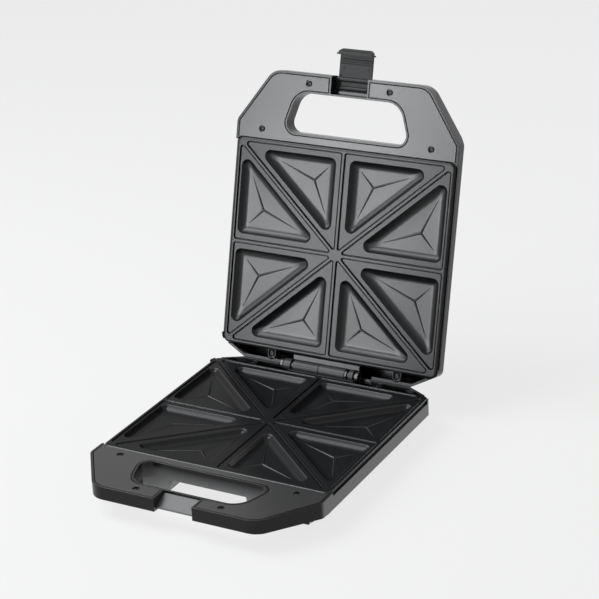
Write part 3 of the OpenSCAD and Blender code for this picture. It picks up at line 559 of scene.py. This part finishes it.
class Finishes:
    """Makes each finish once and hands it out."""

    def __init__(self) -> None:
        """Starts with none made."""
        self._made: dict[Finish, bpy.types.Material] = {}

    def get(self, finish: Finish) -> bpy.types.Material:
        """The material of a finish.

        Args:
            finish: The wanted finish.

        Returns:
            Its material, built on first use.
        """
        if finish not in self._made:
            self._made[finish] = finish.value.material()
        return self._made[finish]

    def dress(self, thing: bpy.types.Object, finish: Finish) -> None:
        """Gives an object one finish all over.

        Args:
            thing: A CAD node or a piece.
            finish: The finish.
        """
        material = self.get(finish)
        if not thing.material_slots:
            thing.data.materials.append(material)
        for slot in thing.material_slots:
            slot.material = material


# ---------- places and meshes


@dataclass(frozen=True)
class Stance:
    """How the two halves stand, from the sizes of the CAD frame, in millimetres."""

    cook_forward: float = 19.6
    part_h: float = 34.0
    hinge_y: float = 120.5
    lid_open: float = 105.0

    def base(self) -> Matrix:
        """From the lower half's own millimetres to the frame's metres."""
        return Matrix.Scale(MM, 4) @ Matrix.Translation((0, -self.cook_forward, self.part_h))

    def lid(self) -> Matrix:
        """From the upper half's own millimetres to the frame's metres.

        Returns:
            The matrix: turned over, closed on the lower half, then opened about the hinge.
        """
        opened = Matrix.Rotation(math.radians(-self.lid_open), 4, "X")
        turned = Matrix.Rotation(math.pi, 4, "Y")
        hinge = Matrix.Translation((0, self.hinge_y, 0))
        back = Matrix.Translation((0, -self.hinge_y, 0))
        return self.base() @ hinge @ opened @ back @ turned


def add(name: str, data: bpy.types.ID) -> bpy.types.Object:
    """Adds an object to the scene.

    Args:
        name: The object's name.
        data: Its mesh, camera or light.

    Returns:
        The object.
    """
    made = bpy.data.objects.new(name, data)
    bpy.context.collection.objects.link(made)
    return made


def drain(name: str, build: bmesh.types.BMesh) -> bpy.types.Mesh:
    """Turns a bmesh into a mesh and frees it.

    Args:
        name: The mesh's name.
        build: The bmesh.

    Returns:
        The mesh.
    """
    mesh = bpy.data.meshes.new(name)
    build.to_mesh(mesh)
    build.free()
    return mesh


def smooth(mesh: bpy.types.Mesh, sharp: float) -> None:
    """Shades a mesh smooth, but for the edges steeper than sharp degrees."""
    mesh.polygons.foreach_set("use_smooth", [True] * len(mesh.polygons))
    mesh.set_sharp_from_angle(angle=math.radians(sharp))


# ---------- cooking plate


@dataclass
class Outline:
    """A convex outline with rounded corners, run counterclockwise, in millimetres."""

    points: list[Vector]
    radii: list[float]

    @classmethod
    def box(cls, low: Span, high: Span, front_r: float, rear_r: float) -> Outline:
        """A rectangle.

        Args:
            low: Its smallest x and y.
            high: Its largest x and y.
            front_r: The radius of its two front corners.
            rear_r: The radius of its two rear corners.

        Returns:
            The outline, from the front left corner.
        """
        corners = ((low[0], low[1]), (high[0], low[1]), (high[0], high[1]), (low[0], high[1]))
        return cls([Vector(corner) for corner in corners], [front_r, front_r, rear_r, rear_r])

    def _normal(self, k: int) -> Vector:
        """The inward normal of the edge after corner k."""
        count = len(self.points)
        along = (self.points[(k + 1) % count] - self.points[k % count]).normalized()
        return Vector((-along.y, along.x))

    def ring(self, inset: float, z: float, steps: int = 14, least: float = 0.6) -> list[Vector]:
        """The outline moved inwards, as points at one height.

        Args:
            inset: How far in.
            z: The height.
            steps: Segments in each corner.
            least: The smallest corner radius.

        Returns:
            The ring's points.
        """
        ring: list[Vector] = []
        for k, corner in enumerate(self.points):
            before, after = self._normal(k - 1), self._normal(k)
            radius = max(self.radii[k] - inset, least)
            middle = corner + (before + after) * (inset + radius) / (1 + before.dot(after))
            start = math.atan2(before.y, before.x)
            turn = math.acos(max(-1.0, min(1.0, before.dot(after))))
            for j in range(steps + 1):
                a = start + turn * j / steps
                x, y = middle.x - radius * math.cos(a), middle.y - radius * math.sin(a)
                ring.append(Vector((x, y, z)))
        return ring

    def centre(self) -> Vector:
        """The centre of a triangle's inscribed circle.

        Returns:
            The centre.
        """
        p = self.points
        sides = [(p[1] - p[2]).length, (p[2] - p[0]).length, (p[0] - p[1]).length]
        return sum((s * q for s, q in zip(sides, p)), Vector((0, 0))) / sum(sides)


@dataclass
class CookingPlate:
    """The cast plate with eight triangular cells. Sizes in millimetres, as in the CAD part."""

    half_w: float = 123.2
    half_d: float = 108.8
    corner_r: float = 7.0
    top: float = -0.1
    thick: float = 3.4
    rim: float = 4.0
    rib_w: float = 2.8
    land_drop: float = 1.0
    straight: float = 8.0
    diagonal: float = 7.0
    end_edge: float = 10.6
    side_edge: float = 7.0
    wall_w: float = 9.0
    wall_curve: float = 2.3
    wall_steps: int = 12
    groove_w: float = 1.1
    groove_d: float = 0.9
    cell_r: float = 6.5
    floor_r: float = 3.4
    floor: float = -6.4
    under: float = -8.6
    ridge_h: float = 1.1
    ridge_w: float = 2.5
    ridge_share: float = 0.62
    ridge_steps: int = 12
    ridge_across: int = 8
    ridge_sink: float = 0.03
    tab_x: Span = (-80.0, 64.0)
    tab_y: float = 113.3
    tab_r: float = 5.0
    tab_top: float = -0.4
    tab_seat: float = -2.1
    tab_bore_sides: int = 32
    sharp: float = 50.0

    def _triangle(self, end: bool, straight: float, diagonal: float, edge: float) -> list[Vector]:
        """One of the two triangles of the quarter x > 0, y > 0.

        Args:
            end: True for the one at the plate's end, False for the one at its side.
            straight: Distance from the straight rib's centre.
            diagonal: Distance from the diagonal rib's centre.
            edge: Distance from the plate's edge.

        Returns:
            Its corners, counterclockwise.
        """
        slope = self.half_d / self.half_w
        rise = diagonal * math.hypot(self.half_w, self.half_d) / self.half_w
        if end:
            far = self.half_d - edge
            near, side = (straight, straight * slope + rise), ((far - rise) / slope, far)
            return [Vector(near), Vector(side), Vector((straight, far))]
        far = self.half_w - edge
        near, side = ((straight + rise) / slope, straight), (far, far * slope - rise)
        return [Vector(near), Vector((far, straight)), Vector(side)]

    def _cell_outlines(self, end: bool) -> tuple[Outline, Outline]:
        """The outlines of one triangle of the quarter x > 0, y > 0.

        Args:
            end: True for the one at the plate's end, False for the one at its side.

        Returns:
            The land's outline and the cell's.
        """
        half_rib = self.rib_w / 2
        land = Outline(self._triangle(end, half_rib, half_rib, self.rim), [2.0, 3.0, 3.0])
        edge = self.end_edge if end else self.side_edge
        corners = self._triangle(end, self.straight, self.diagonal, edge)
        return land, Outline(corners, [self.cell_r] * 3)

    def _upper_rings(self, land: Outline, cell: Outline) -> list[list[Vector]]:
        """The rings from a rib's top edge down to a cell's floor.

        Args:
            land: The land's outline.
            cell: The cell's outline.

        Returns:
            The rings, outermost first.
        """
        top, low = self.top, self.top - self.land_drop
        foot, far = low - self.groove_d, self.groove_w
        lip = low - 0.12
        # Each profile lists insets and heights.
        rib = (
            (-0.65, top), (-0.4, top), (-0.2, top - 0.03), (-0.06, top - 0.13), (0.0, top - 0.3),
            (0.05, foot + 0.35), (0.3, foot), (0.5, foot), (far - 0.25, low - 0.35),
            (far, low - 0.06), (far + 0.2, low), (far + 0.55, low),
        )
        brink = ((-0.65, low), (-0.3, low), (-0.12, low - 0.03), (0.0, lip))
        rings = [land.ring(inset, z) for inset, z in rib]
        rings += [cell.ring(inset, z) for inset, z in brink]
        for k in range(1, self.wall_steps + 1):
            s = (k / self.wall_steps) ** 1.5
            drop = (lip - self.floor) * (1 - (1 - s) ** self.wall_curve)
            rings.append(cell.ring(s * self.wall_w, lip - drop, least=self.floor_r))
        return rings

    @staticmethod
    def _band(build: bmesh.types.BMesh, loops: list[Loop], flip: bool = False) -> None:
        """Joins neighbouring loops by quads.

        Args:
            build: The mesh to add to.
            loops: Loops with the same number of vertices.
            flip: True to turn the quads over.
        """
        for a, b in zip(loops, loops[1:]):
            for quad in zip(a, a[1:] + a[:1], b[1:] + b[:1], b):
                build.faces.new(quad[::-1] if flip else quad)

    @classmethod
    def _stack(
        cls, build: bmesh.types.BMesh, rings: list[list[Vector]], turn: Matrix, flip: bool
    ) -> Loop:
        """Joins rings into a surface and closes the last one with a fan.

        Args:
            build: The mesh to add to.
            rings: The rings, outermost first.
            turn: Mirrors the quarter into place.
            flip: True where the mirror turns faces over.

        Returns:
            The first ring's vertices.
        """
        made = [[build.verts.new(turn @ spot) for spot in ring] for ring in rings]
        cls._band(build, made, flip)
        last = made[-1]
        middle = build.verts.new(sum((v.co for v in last), Vector()) / len(last))
        for a, b in zip(last, last[1:] + last[:1]):
            fan = (a, b, middle)
            build.faces.new(fan[::-1] if flip else fan)
        return made[0]

    def _ridge(self, build: bmesh.types.BMesh, cell: Outline, turn: Matrix) -> None:
        """Adds the three tapered beads on a cell's floor.

        Args:
            build: The mesh to add to.
            cell: The cell's outline.
            turn: Mirrors the quarter into place.
        """
        middle = cell.centre()
        foot, steps, across = self.floor - self.ridge_sink, self.ridge_steps, self.ridge_across
        for corner in cell.points:
            way = (corner - middle) * self.ridge_share
            side = Vector((-way.y, way.x)).normalized()
            rows = []
            for i in range(steps + 1):
                s = i / steps
                half_w = self.ridge_w / 2 * (1 - s) ** 0.55 + 0.02
                crest = self.ridge_h * (1 - s) ** 0.8
                row = []
                for j in range(across + 1):
                    t = -1 + 2 * j / across
                    spot = middle + way * s + side * t * half_w
                    place = Vector((spot.x, spot.y, foot + crest * (1 - abs(t) ** 1.6)))
                    row.append(build.verts.new(turn @ place))
                rows.append(row)
            for a, b in zip(rows, rows[1:]):
                for j in range(across):
                    build.faces.new((a[j], b[j], b[j + 1], a[j + 1]))

    @staticmethod
    def _sheet(build: bmesh.types.BMesh, loops: list[Loop], up: bool) -> None:
        """Fills a flat area with holes.

        Args:
            build: The mesh to add to.
            loops: The outer loop, then the holes.
            up: True if the area faces up.
        """
        flat = [v for loop in loops for v in loop]
        for corners in tessellate_polygon([[v.co for v in loop] for loop in loops]):
            a, b, c = (flat[k] for k in corners)
            rises = (b.co - a.co).cross(c.co - a.co).z > 0
            build.faces.new((a, b, c) if rises == up else (c, b, a))

    def _tabs(self, build: bmesh.types.BMesh) -> None:
        """Adds the two rear screw tabs, each with a sunk seat and a bore.

        Args:
            build: The mesh to add to.
        """
        low, top, seat, r = self.top - self.thick, self.tab_top, self.tab_seat, self.tab_r
        # Insets and heights, then radii and heights.
        rim = ((0, low), (0, top - 0.4), (0.12, top - 0.1), (0.4, top))
        bore = ((3.65, top), (3.5, top - 0.15), (3.5, seat), (1.7, seat), (1.7, low))
        angles = (math.tau * k / self.tab_bore_sides for k in range(self.tab_bore_sides))
        turns = [(math.cos(a), math.sin(a)) for a in angles]
        for x in self.tab_x:
            front_left, rear_right = (x - r, self.half_d - 3), (x + r, self.tab_y + r)
            outline = Outline.box(front_left, rear_right, 0.3, r - 0.01)
            outer = [
                [build.verts.new(place) for place in outline.ring(inset, z, 10, 0.1)]
                for inset, z in rim
            ]
            inner = [
                [build.verts.new((x + out * c, self.tab_y + out * s, z)) for c, s in turns]
                for out, z in bore
            ]
            self._band(build, outer)
            self._band(build, inner)
            self._sheet(build, [outer[-1], inner[0]], True)
            self._sheet(build, [outer[0], inner[-1]], False)

    def build(self, name: str, place: Matrix) -> bpy.types.Object:
        """Builds the whole plate.

        Args:
            name: The piece's name.
            place: Takes the half's millimetres to the frame.

        Returns:
            The piece.
        """
        build = bmesh.new()
        top, low, under = self.top, self.top - self.thick, self.under
        belly = ((-2.2, low), (-2.0, low - 0.6), (4.2, under + 0.3), (4.8, under))
        rim = (
            (2.8, top), (2.4, top), (1.7, top - 0.12), (1.0, top - 0.42), (0.45, top - 0.85),
            (0.1, top - 1.4), (0, top - 1.9), (0, low + 0.3), (0.2, low),
        )
        upper: list[Loop] = []
        lower: list[Loop] = []
        for sx, sy, end in product((1, -1), (1, -1), (True, False)):
            turn = Matrix.Diagonal((sx, sy, 1, 1))
            flip = sx * sy < 0
            land, cell = self._cell_outlines(end)
            upper.append(self._stack(build, self._upper_rings(land, cell), turn, flip))
            rings = [cell.ring(inset, z, 6) for inset, z in belly]
            lower.append(self._stack(build, rings, turn, not flip))
            self._ridge(build, cell, turn)
        corner = (self.half_w, self.half_d)
        half = Outline.box((-corner[0], -corner[1]), corner, self.corner_r, self.corner_r)
        sides = [[build.verts.new(spot) for spot in half.ring(inset, z)] for inset, z in rim]
        self._band(build, sides, True)
        self._sheet(build, [sides[0], *upper], True)
        self._sheet(build, [sides[-1], *lower], False)
        self._tabs(build)
        bmesh.ops.transform(build, matrix=place, verts=build.verts)
        mesh = drain(name, build)
        smooth(mesh, self.sharp)
        return add(name, mesh)


# ---------- screws


@dataclass(frozen=True)
class Seat:
    """Where a screw's head rests, in a half's own millimetres."""

    at: Triple
    shank: float
    way: Triple = UP


@dataclass
class CrossScrews:
    """Pan head screws with a cross recess, set out by a node tree. Sizes in millimetres."""

    head_r: float = 2.7
    head_h: float = 1.3
    crown: float = 1.0
    shank_r: float = 1.5
    cross_w: float = 1.0
    cross_reach: float = 1.75
    cross_d: float = 0.85
    head_sides: int = 32
    head_rings: int = 9
    shank_sides: int = 24
    sharp: float = 35.0
    seed: int = 7

    @staticmethod
    def cover_seats() -> list[Seat]:
        """The four screws of a handle's cover."""
        places = ((95.4, -119.0), (45.2, -170.0))
        return [Seat((side * x, y, -1.9), shank=7.8) for x, y in places for side in (-1, 1)]

    @staticmethod
    def tab_seats() -> list[Seat]:
        """The two screws through a plate's tabs."""
        plate = CookingPlate()
        return [Seat((x, plate.tab_y, plate.tab_seat), shank=9.4) for x in plate.tab_x]

    @staticmethod
    def foot_seats() -> list[Seat]:
        """The four screws up through the feet."""
        places = ((97.0, -106.0), (97.0, 88.0))
        return [Seat((side * x, y, -32.3), 8.0, DOWN) for x, y in places for side in (-1, 1)]

    def _inputs(self) -> dict[str, tuple[str, Any]]:
        """The tree's inputs.

        Returns:
            Each input's socket type and value by its name, lengths in metres.
        """
        sizes = {
            "Head Radius": self.head_r,
            "Head Height": self.head_h,
            "Crown": self.crown,
            "Shank Radius": self.shank_r,
            "Cross Width": self.cross_w,
            "Cross Reach": self.cross_reach,
            "Cross Depth": self.cross_d,
        }
        named: dict[str, tuple[str, Any]] = {
            name: ("NodeSocketFloat", size * MM) for name, size in sizes.items()
        }
        named["Seed"] = ("NodeSocketInt", self.seed)
        return named

    def _head(self, sheet: Sheet, given: Callable[[str], Wire]) -> Wire:
        """Adds a crowned head with its cross cut in, seated on z = 0.

        Args:
            sheet: The tree under construction.
            given: Looks up one of the tree's inputs.

        Returns:
            The head's geometry.
        """
        radius, height = given("Head Radius"), given("Head Height")
        counts = {"Vertices": self.head_sides, "Fill Segments": self.head_rings}
        blank = sheet.node(
            "GeometryNodeMeshCylinder",
            {"fill_type": "TRIANGLE_FAN"},
            {**counts, "Radius": radius, "Depth": height},
        )
        spot = sheet.node("GeometryNodeInputPosition")
        x, y, z = (sheet.node("ShaderNodeSeparateXYZ", None, {0: spot}, k) for k in range(3))
        out = (x * x + y * y) / (radius * radius)
        drop = out * out * out * given("Crown") * z.beyond(0.0)
        shift = sheet.node("ShaderNodeCombineXYZ", None, {"Z": height * 0.5 - drop})
        head = sheet.node("GeometryNodeSetPosition", None, {"Geometry": blank, "Offset": shift})
        reach, wide = given("Cross Reach") * 2.0, given("Cross Width")
        deep = given("Cross Depth") * 2.0
        top = sheet.node("ShaderNodeCombineXYZ", None, {"Z": height})
        for long, short in ((reach, wide), (wide, reach)):
            size = sheet.node("ShaderNodeCombineXYZ", None, {"X": long, "Y": short, "Z": deep})
            bar = sheet.node("GeometryNodeMeshCube", None, {"Size": size})
            slot = sheet.node("GeometryNodeTransform", None, {"Geometry": bar, "Translation": top})
            cut = {"operation": "DIFFERENCE", "solver": "EXACT"}
            head = sheet.node("GeometryNodeMeshBoolean", cut, {"Mesh 1": head, "Mesh 2": slot})
        return head

    def _tree(self, steel: bpy.types.Material) -> bpy.types.NodeTree:
        """The tree that sets a screw on every point.

        Args:
            steel: The screws' material.

        Returns:
            The tree. The points carry "way", where the head looks, and "shank", its length.
        """
        tree = bpy.data.node_groups.new("cross_screws", "GeometryNodeTree")
        tree.interface.new_socket(name="Points", in_out="INPUT", socket_type="NodeSocketGeometry")
        for name, (kind, _) in self._inputs().items():
            tree.interface.new_socket(name=name, in_out="INPUT", socket_type=kind)
        tree.interface.new_socket(name="Screws", in_out="OUTPUT", socket_type="NodeSocketGeometry")
        sheet = Sheet(tree)
        entry = tree.nodes.new("NodeGroupInput")

        def given(name: str) -> Wire:
            """One of the tree's inputs."""
            return Wire(sheet, entry.outputs[name])

        def carried(name: str, kind: str) -> Wire:
            """One of the points' attributes."""
            return sheet.node(
                "GeometryNodeInputNamedAttribute", {"data_type": kind}, {"Name": name}
            )

        rod = sheet.node(
            "GeometryNodeMeshCylinder",
            {"fill_type": "NGON"},
            {"Vertices": self.shank_sides, "Radius": given("Shank Radius"), "Depth": 1.0},
        )
        hung = {"Geometry": rod, "Translation": (0, 0, -0.5)}
        shank = sheet.node("GeometryNodeTransform", None, hung)
        way, length = carried("way", "FLOAT_VECTOR"), carried("shank", "FLOAT")
        aligned = sheet.node("FunctionNodeAlignRotationToVector", {"axis": "Z"}, {"Vector": way})
        angle = sheet.node(
            "FunctionNodeRandomValue",
            {"data_type": "FLOAT"},
            {2: 0.0, 3: math.pi / 2, "Seed": given("Seed")},
            1,
        )
        spin = sheet.node(
            "FunctionNodeAxisAngleToRotation", None, {"Axis": (0, 0, 1), "Angle": angle}
        )
        turn = sheet.node(
            "FunctionNodeRotateRotation",
            {"rotation_space": "LOCAL"},
            {"Rotation": aligned, "Rotate By": spin},
        )
        stretch = sheet.node("ShaderNodeCombineXYZ", None, {"X": 1.0, "Y": 1.0, "Z": length})
        both = tree.nodes.new("GeometryNodeJoinGeometry")
        for body, scale in ((self._head(sheet, given), (1, 1, 1)), (shank, stretch)):
            placed = sheet.node(
                "GeometryNodeInstanceOnPoints",
                None,
                {"Points": given("Points"), "Instance": body, "Rotation": turn, "Scale": scale},
            )
            tree.links.new(placed.socket, both.inputs[0])
        whole = sheet.node("GeometryNodeRealizeInstances", None, {"Geometry": both.outputs[0]})
        finish = {"Geometry": whole, "Material": steel}
        dressed = sheet.node("GeometryNodeSetMaterial", None, finish)
        tree.links.new(dressed.socket, tree.nodes.new("NodeGroupOutput").inputs[0])
        return tree

    def build(
        self, name: str, seats: Sequence[Seat], place: Matrix, steel: bpy.types.Material
    ) -> bpy.types.Object:
        """Sets screws on their seats and makes them one plain mesh.

        Args:
            name: The piece's name.
            seats: Where the heads rest.
            place: Takes the half's millimetres to the frame.
            steel: The screws' material.

        Returns:
            The piece.
        """
        mesh = bpy.data.meshes.new(name)
        mesh.from_pydata([place @ Vector(seat.at) for seat in seats], [], [])
        for label, kind in (("way", "FLOAT_VECTOR"), ("shank", "FLOAT")):
            mesh.attributes.new(label, kind, "POINT")
        ways, shanks = mesh.attributes["way"], mesh.attributes["shank"]
        for k, seat in enumerate(seats):
            ways.data[k].vector = (place.to_3x3() @ Vector(seat.way)).normalized()
            shanks.data[k].value = seat.shank * MM
        thing = add(name, mesh)
        tree = self._tree(steel)
        step = thing.modifiers.new("screws", "NODES")
        step.node_group = tree
        values = self._inputs()
        for item in tree.interface.items_tree:
            if item.in_out == "INPUT" and item.name in values:
                step[item.identifier] = values[item.name][1]
        seen = thing.evaluated_get(bpy.context.evaluated_depsgraph_get())
        plain = bpy.data.meshes.new_from_object(seen)
        thing.modifiers.remove(step)
        thing.data = plain
        plain.name = name
        plain.materials.clear()
        plain.materials.append(steel)
        plain.polygons.foreach_set("material_index", [0] * len(plain.polygons))
        smooth(plain, self.sharp)
        return thing


# ---------- studio


@dataclass(frozen=True)
class Lamp:
    """A soft rectangular lamp. Lengths in metres, power in watts."""

    name: str
    at: Triple
    aim: Triple
    size: Span
    watts: float


@dataclass
class Studio:
    """Camera, floor and lights. Lengths in metres."""

    target: Triple = (0.0199, 0.0181, 0.1502)
    azimuth: float = 29.1734
    elevation: float = 23.0534
    roll: float = -2.7599
    distance: float = 1.8657
    focal_px: float = 1933.7287
    frame_px: float = 599.0
    sensor_mm: float = 36.0
    view_end: float = 50.0
    floor_half: float = 6.0
    paper: float = 0.878
    evenness: float = 0.88
    room_light: float = 0.3
    lamp_colour: Triple = (0.95, 0.975, 1.0)
    lamps: tuple[Lamp, ...] = (
        Lamp("front_strip", (-0.72, -1.3, 0.45), (0.0, 0.14, 0.2), (0.3, 0.8), 12.5),
        Lamp("top_softbox", (-0.8, -0.4, 1.4), (0.0, 0.0, 0.1), (0.9, 0.9), 23.0),
        Lamp("left_softbox", (-1.7, -0.5, 0.9), (0.0, 0.0, 0.1), (0.9, 0.9), 8.0),
        Lamp("rear_strip", (0.75, 1.5, 0.85), (0.0, 0.0, 0.05), (0.3, 0.5), 3.0),
    )

    def camera(self) -> None:
        """Sets up the photograph's view."""
        az, el, roll = (math.radians(a) for a in (self.azimuth, self.elevation, self.roll))
        level = math.cos(el)
        back = Vector((math.sin(az) * level, -math.cos(az) * level, math.sin(el)))
        right = Vector((math.cos(az), math.sin(az), 0))
        up = back.cross(right)
        right, up = (
            right * math.cos(roll) + up * math.sin(roll),
            up * math.cos(roll) - right * math.sin(roll),
        )
        data = bpy.data.cameras.new("camera")
        data.sensor_width = self.sensor_mm
        data.lens = self.focal_px * self.sensor_mm / self.frame_px
        data.clip_end = self.view_end
        thing = add("camera", data)
        spin = Matrix((right, up, back)).transposed().to_4x4()
        thing.matrix_world = Matrix.Translation(Vector(self.target) + back * self.distance) @ spin
        bpy.context.scene.camera = thing

    @staticmethod
    def _seen(sheet: Sheet) -> Wire:
        """Tells rays that see the set from rays that light it.

        Args:
            sheet: The tree under construction.

        Returns:
            1 where the camera, a reflection or clear plastic sees the set, else 0.
        """
        kinds = ("Is Camera Ray", "Is Glossy Ray", "Is Transmission Ray")
        rays = [sheet.node("ShaderNodeLightPath", None, None, kind) for kind in kinds]
        return sum(rays[1:], rays[0]).clamped()

    def _paper_material(self) -> bpy.types.Material:
        """The floor's pale paper: even where it is seen, with part of the object's shadow kept.

        Returns:
            The material.
        """
        paint = Paint("pale_paper")
        grain = paint.noise(40.0, 3.0)
        pale = (self.paper, self.paper, self.paper)
        paint.feed("Base Color", paint.blend(grain, tuple(c * 0.995 for c in pale), pale))
        paint.feed("Roughness", 0.9)
        paint.feed("Specular IOR Level", 0.0)
        glow = paint.node("ShaderNodeEmission", None, {"Color": (*pale, 1.0), "Strength": 1.0})
        even = self._seen(paint) * self.evenness
        shades = {0: even, 1: paint.shader.outputs[0], 2: glow}
        mixed = paint.node("ShaderNodeMixShader", None, shades)
        paint.tree.links.new(mixed.socket, paint.output.inputs[0])
        return paint.material

    def floor(self) -> None:
        """Lays the floor."""
        build = bmesh.new()
        bmesh.ops.create_grid(build, x_segments=2, y_segments=2, size=self.floor_half)
        mesh = drain("floor", build)
        mesh.materials.append(self._paper_material())
        thing = add("floor", mesh)

    def _hang(self, lamp: Lamp) -> None:
        """Adds a lamp.

        Args:
            lamp: The lamp.
        """
        data = bpy.data.lights.new(lamp.name, "AREA")
        data.shape = "RECTANGLE"
        data.size, data.size_y = lamp.size
        data.energy = lamp.watts
        data.color = self.lamp_colour
        thing = add(lamp.name, data)
        thing.visible_camera = False
        aimed = (Vector(lamp.aim) - Vector(lamp.at)).to_track_quat("-Z", "Y")
        thing.matrix_world = Matrix.Translation(lamp.at) @ aimed.to_matrix().to_4x4()

    def lights(self) -> None:
        """Hangs the lamps and fills the room with soft light."""
        for lamp in self.lamps:
            self._hang(lamp)
        world = bpy.data.worlds.new("room")
        world.use_nodes = True
        room = Sheet(world.node_tree)
        room.tree.nodes.clear()
        dim, pale = (
            room.node("ShaderNodeBackground", None, {"Color": (*WHITE, 1.0), "Strength": level})
            for level in (self.room_light, self.paper)
        )
        mixed = room.node("ShaderNodeMixShader", None, {0: self._seen(room), 1: dim, 2: pale})
        output = room.tree.nodes.new("ShaderNodeOutputWorld")
        room.tree.links.new(mixed.socket, output.inputs[0])
        bpy.context.scene.world = world
        bpy.context.scene.view_settings.view_transform = "Standard"


# ---------- the toaster


@dataclass
class Toaster:
    """Dresses the CAD nodes and adds the detailed pieces."""

    frame: dict[str, Any]
    finishes: Finishes
    stance: Stance
    endings: tuple[tuple[Finish, tuple[str, ...]], ...] = (
        (Finish.BASE_SHELL, ("base_shell",)),
        (Finish.LID_SHELL, ("lid_shell",)),
        (Finish.COVER, ("cover",)),
        (Finish.SCREW, ("screws",)),
        (Finish.BASE_PLATE, ("base_plate",)),
        (Finish.LID_PLATE, ("lid_plate",)),
        (Finish.HEATER, ("heater", "clips")),
        (Finish.SHEET, ("reflector",)),
        (Finish.TERMINAL, ("terminal_block",)),
        (Finish.RUBBER, ("feet",)),
        (Finish.CATCH, ("catch",)),
        (Finish.PIN, ("pin", "thermostat", "washer")),
        (Finish.BARREL, ("caps",)),
        (Finish.RED, ("power_lamp_lens",)),
        (Finish.GREEN, ("ready_lamp_lens",)),
        (Finish.LATCH, ("latch",)),
    )

    def dress_nodes(self) -> None:
        """Gives every CAD node its finish by the end of its name, or the gland's."""
        for name, node in self.frame["nodes"].items():
            finish = next((f for f, ends in self.endings if name.endswith(ends)), Finish.GLAND)
            self.finishes.dress(node, finish)
            LOG.info("node %s: %s", name, finish.name)

    def plates(self) -> None:
        """Builds both cooking plates in place of the plain castings."""
        halves = (
            ("base", self.stance.base(), Finish.BASE_PLATE),
            ("lid", self.stance.lid(), Finish.LID_PLATE),
        )
        for half, place, finish in halves:
            made = CookingPlate().build(f"{half}_cooking_plate", place)
            self.finishes.dress(made, finish)
            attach(made, half)
            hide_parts(f"{half}_plate")
            LOG.info("piece %s: %d faces", made.name, len(made.data.polygons))

    def screws(self) -> None:
        """Sets the screws that show, in place of the plain ones."""
        screws = CrossScrews()
        steel = self.finishes.get(Finish.SCREW)
        seats = screws.cover_seats() + screws.tab_seats()
        plain = ("handle_screws", "plate_screws")
        halves = (
            ("base", self.stance.base(), screws.foot_seats()),
            ("lid", self.stance.lid(), []),
        )
        for half, place, more in halves:
            made = screws.build(f"{half}_cross_screws", seats + more, place, steel)
            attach(made, half)
            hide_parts(*(f"{half}_{name}" for name in plain), *(["foot_screws"] if more else []))
            LOG.info("piece %s: %d faces", made.name, len(made.data.polygons))


def main() -> None:
    """Builds the whole scene."""
    logging.basicConfig(level=logging.INFO, format="%(message)s")
    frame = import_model()
    studio = Studio()
    studio.camera()
    toaster = Toaster(frame, Finishes(), Stance())
    toaster.dress_nodes()
    toaster.plates()
    toaster.screws()
    studio.floor()
    studio.lights()


if __name__ == "__main__":
    main()
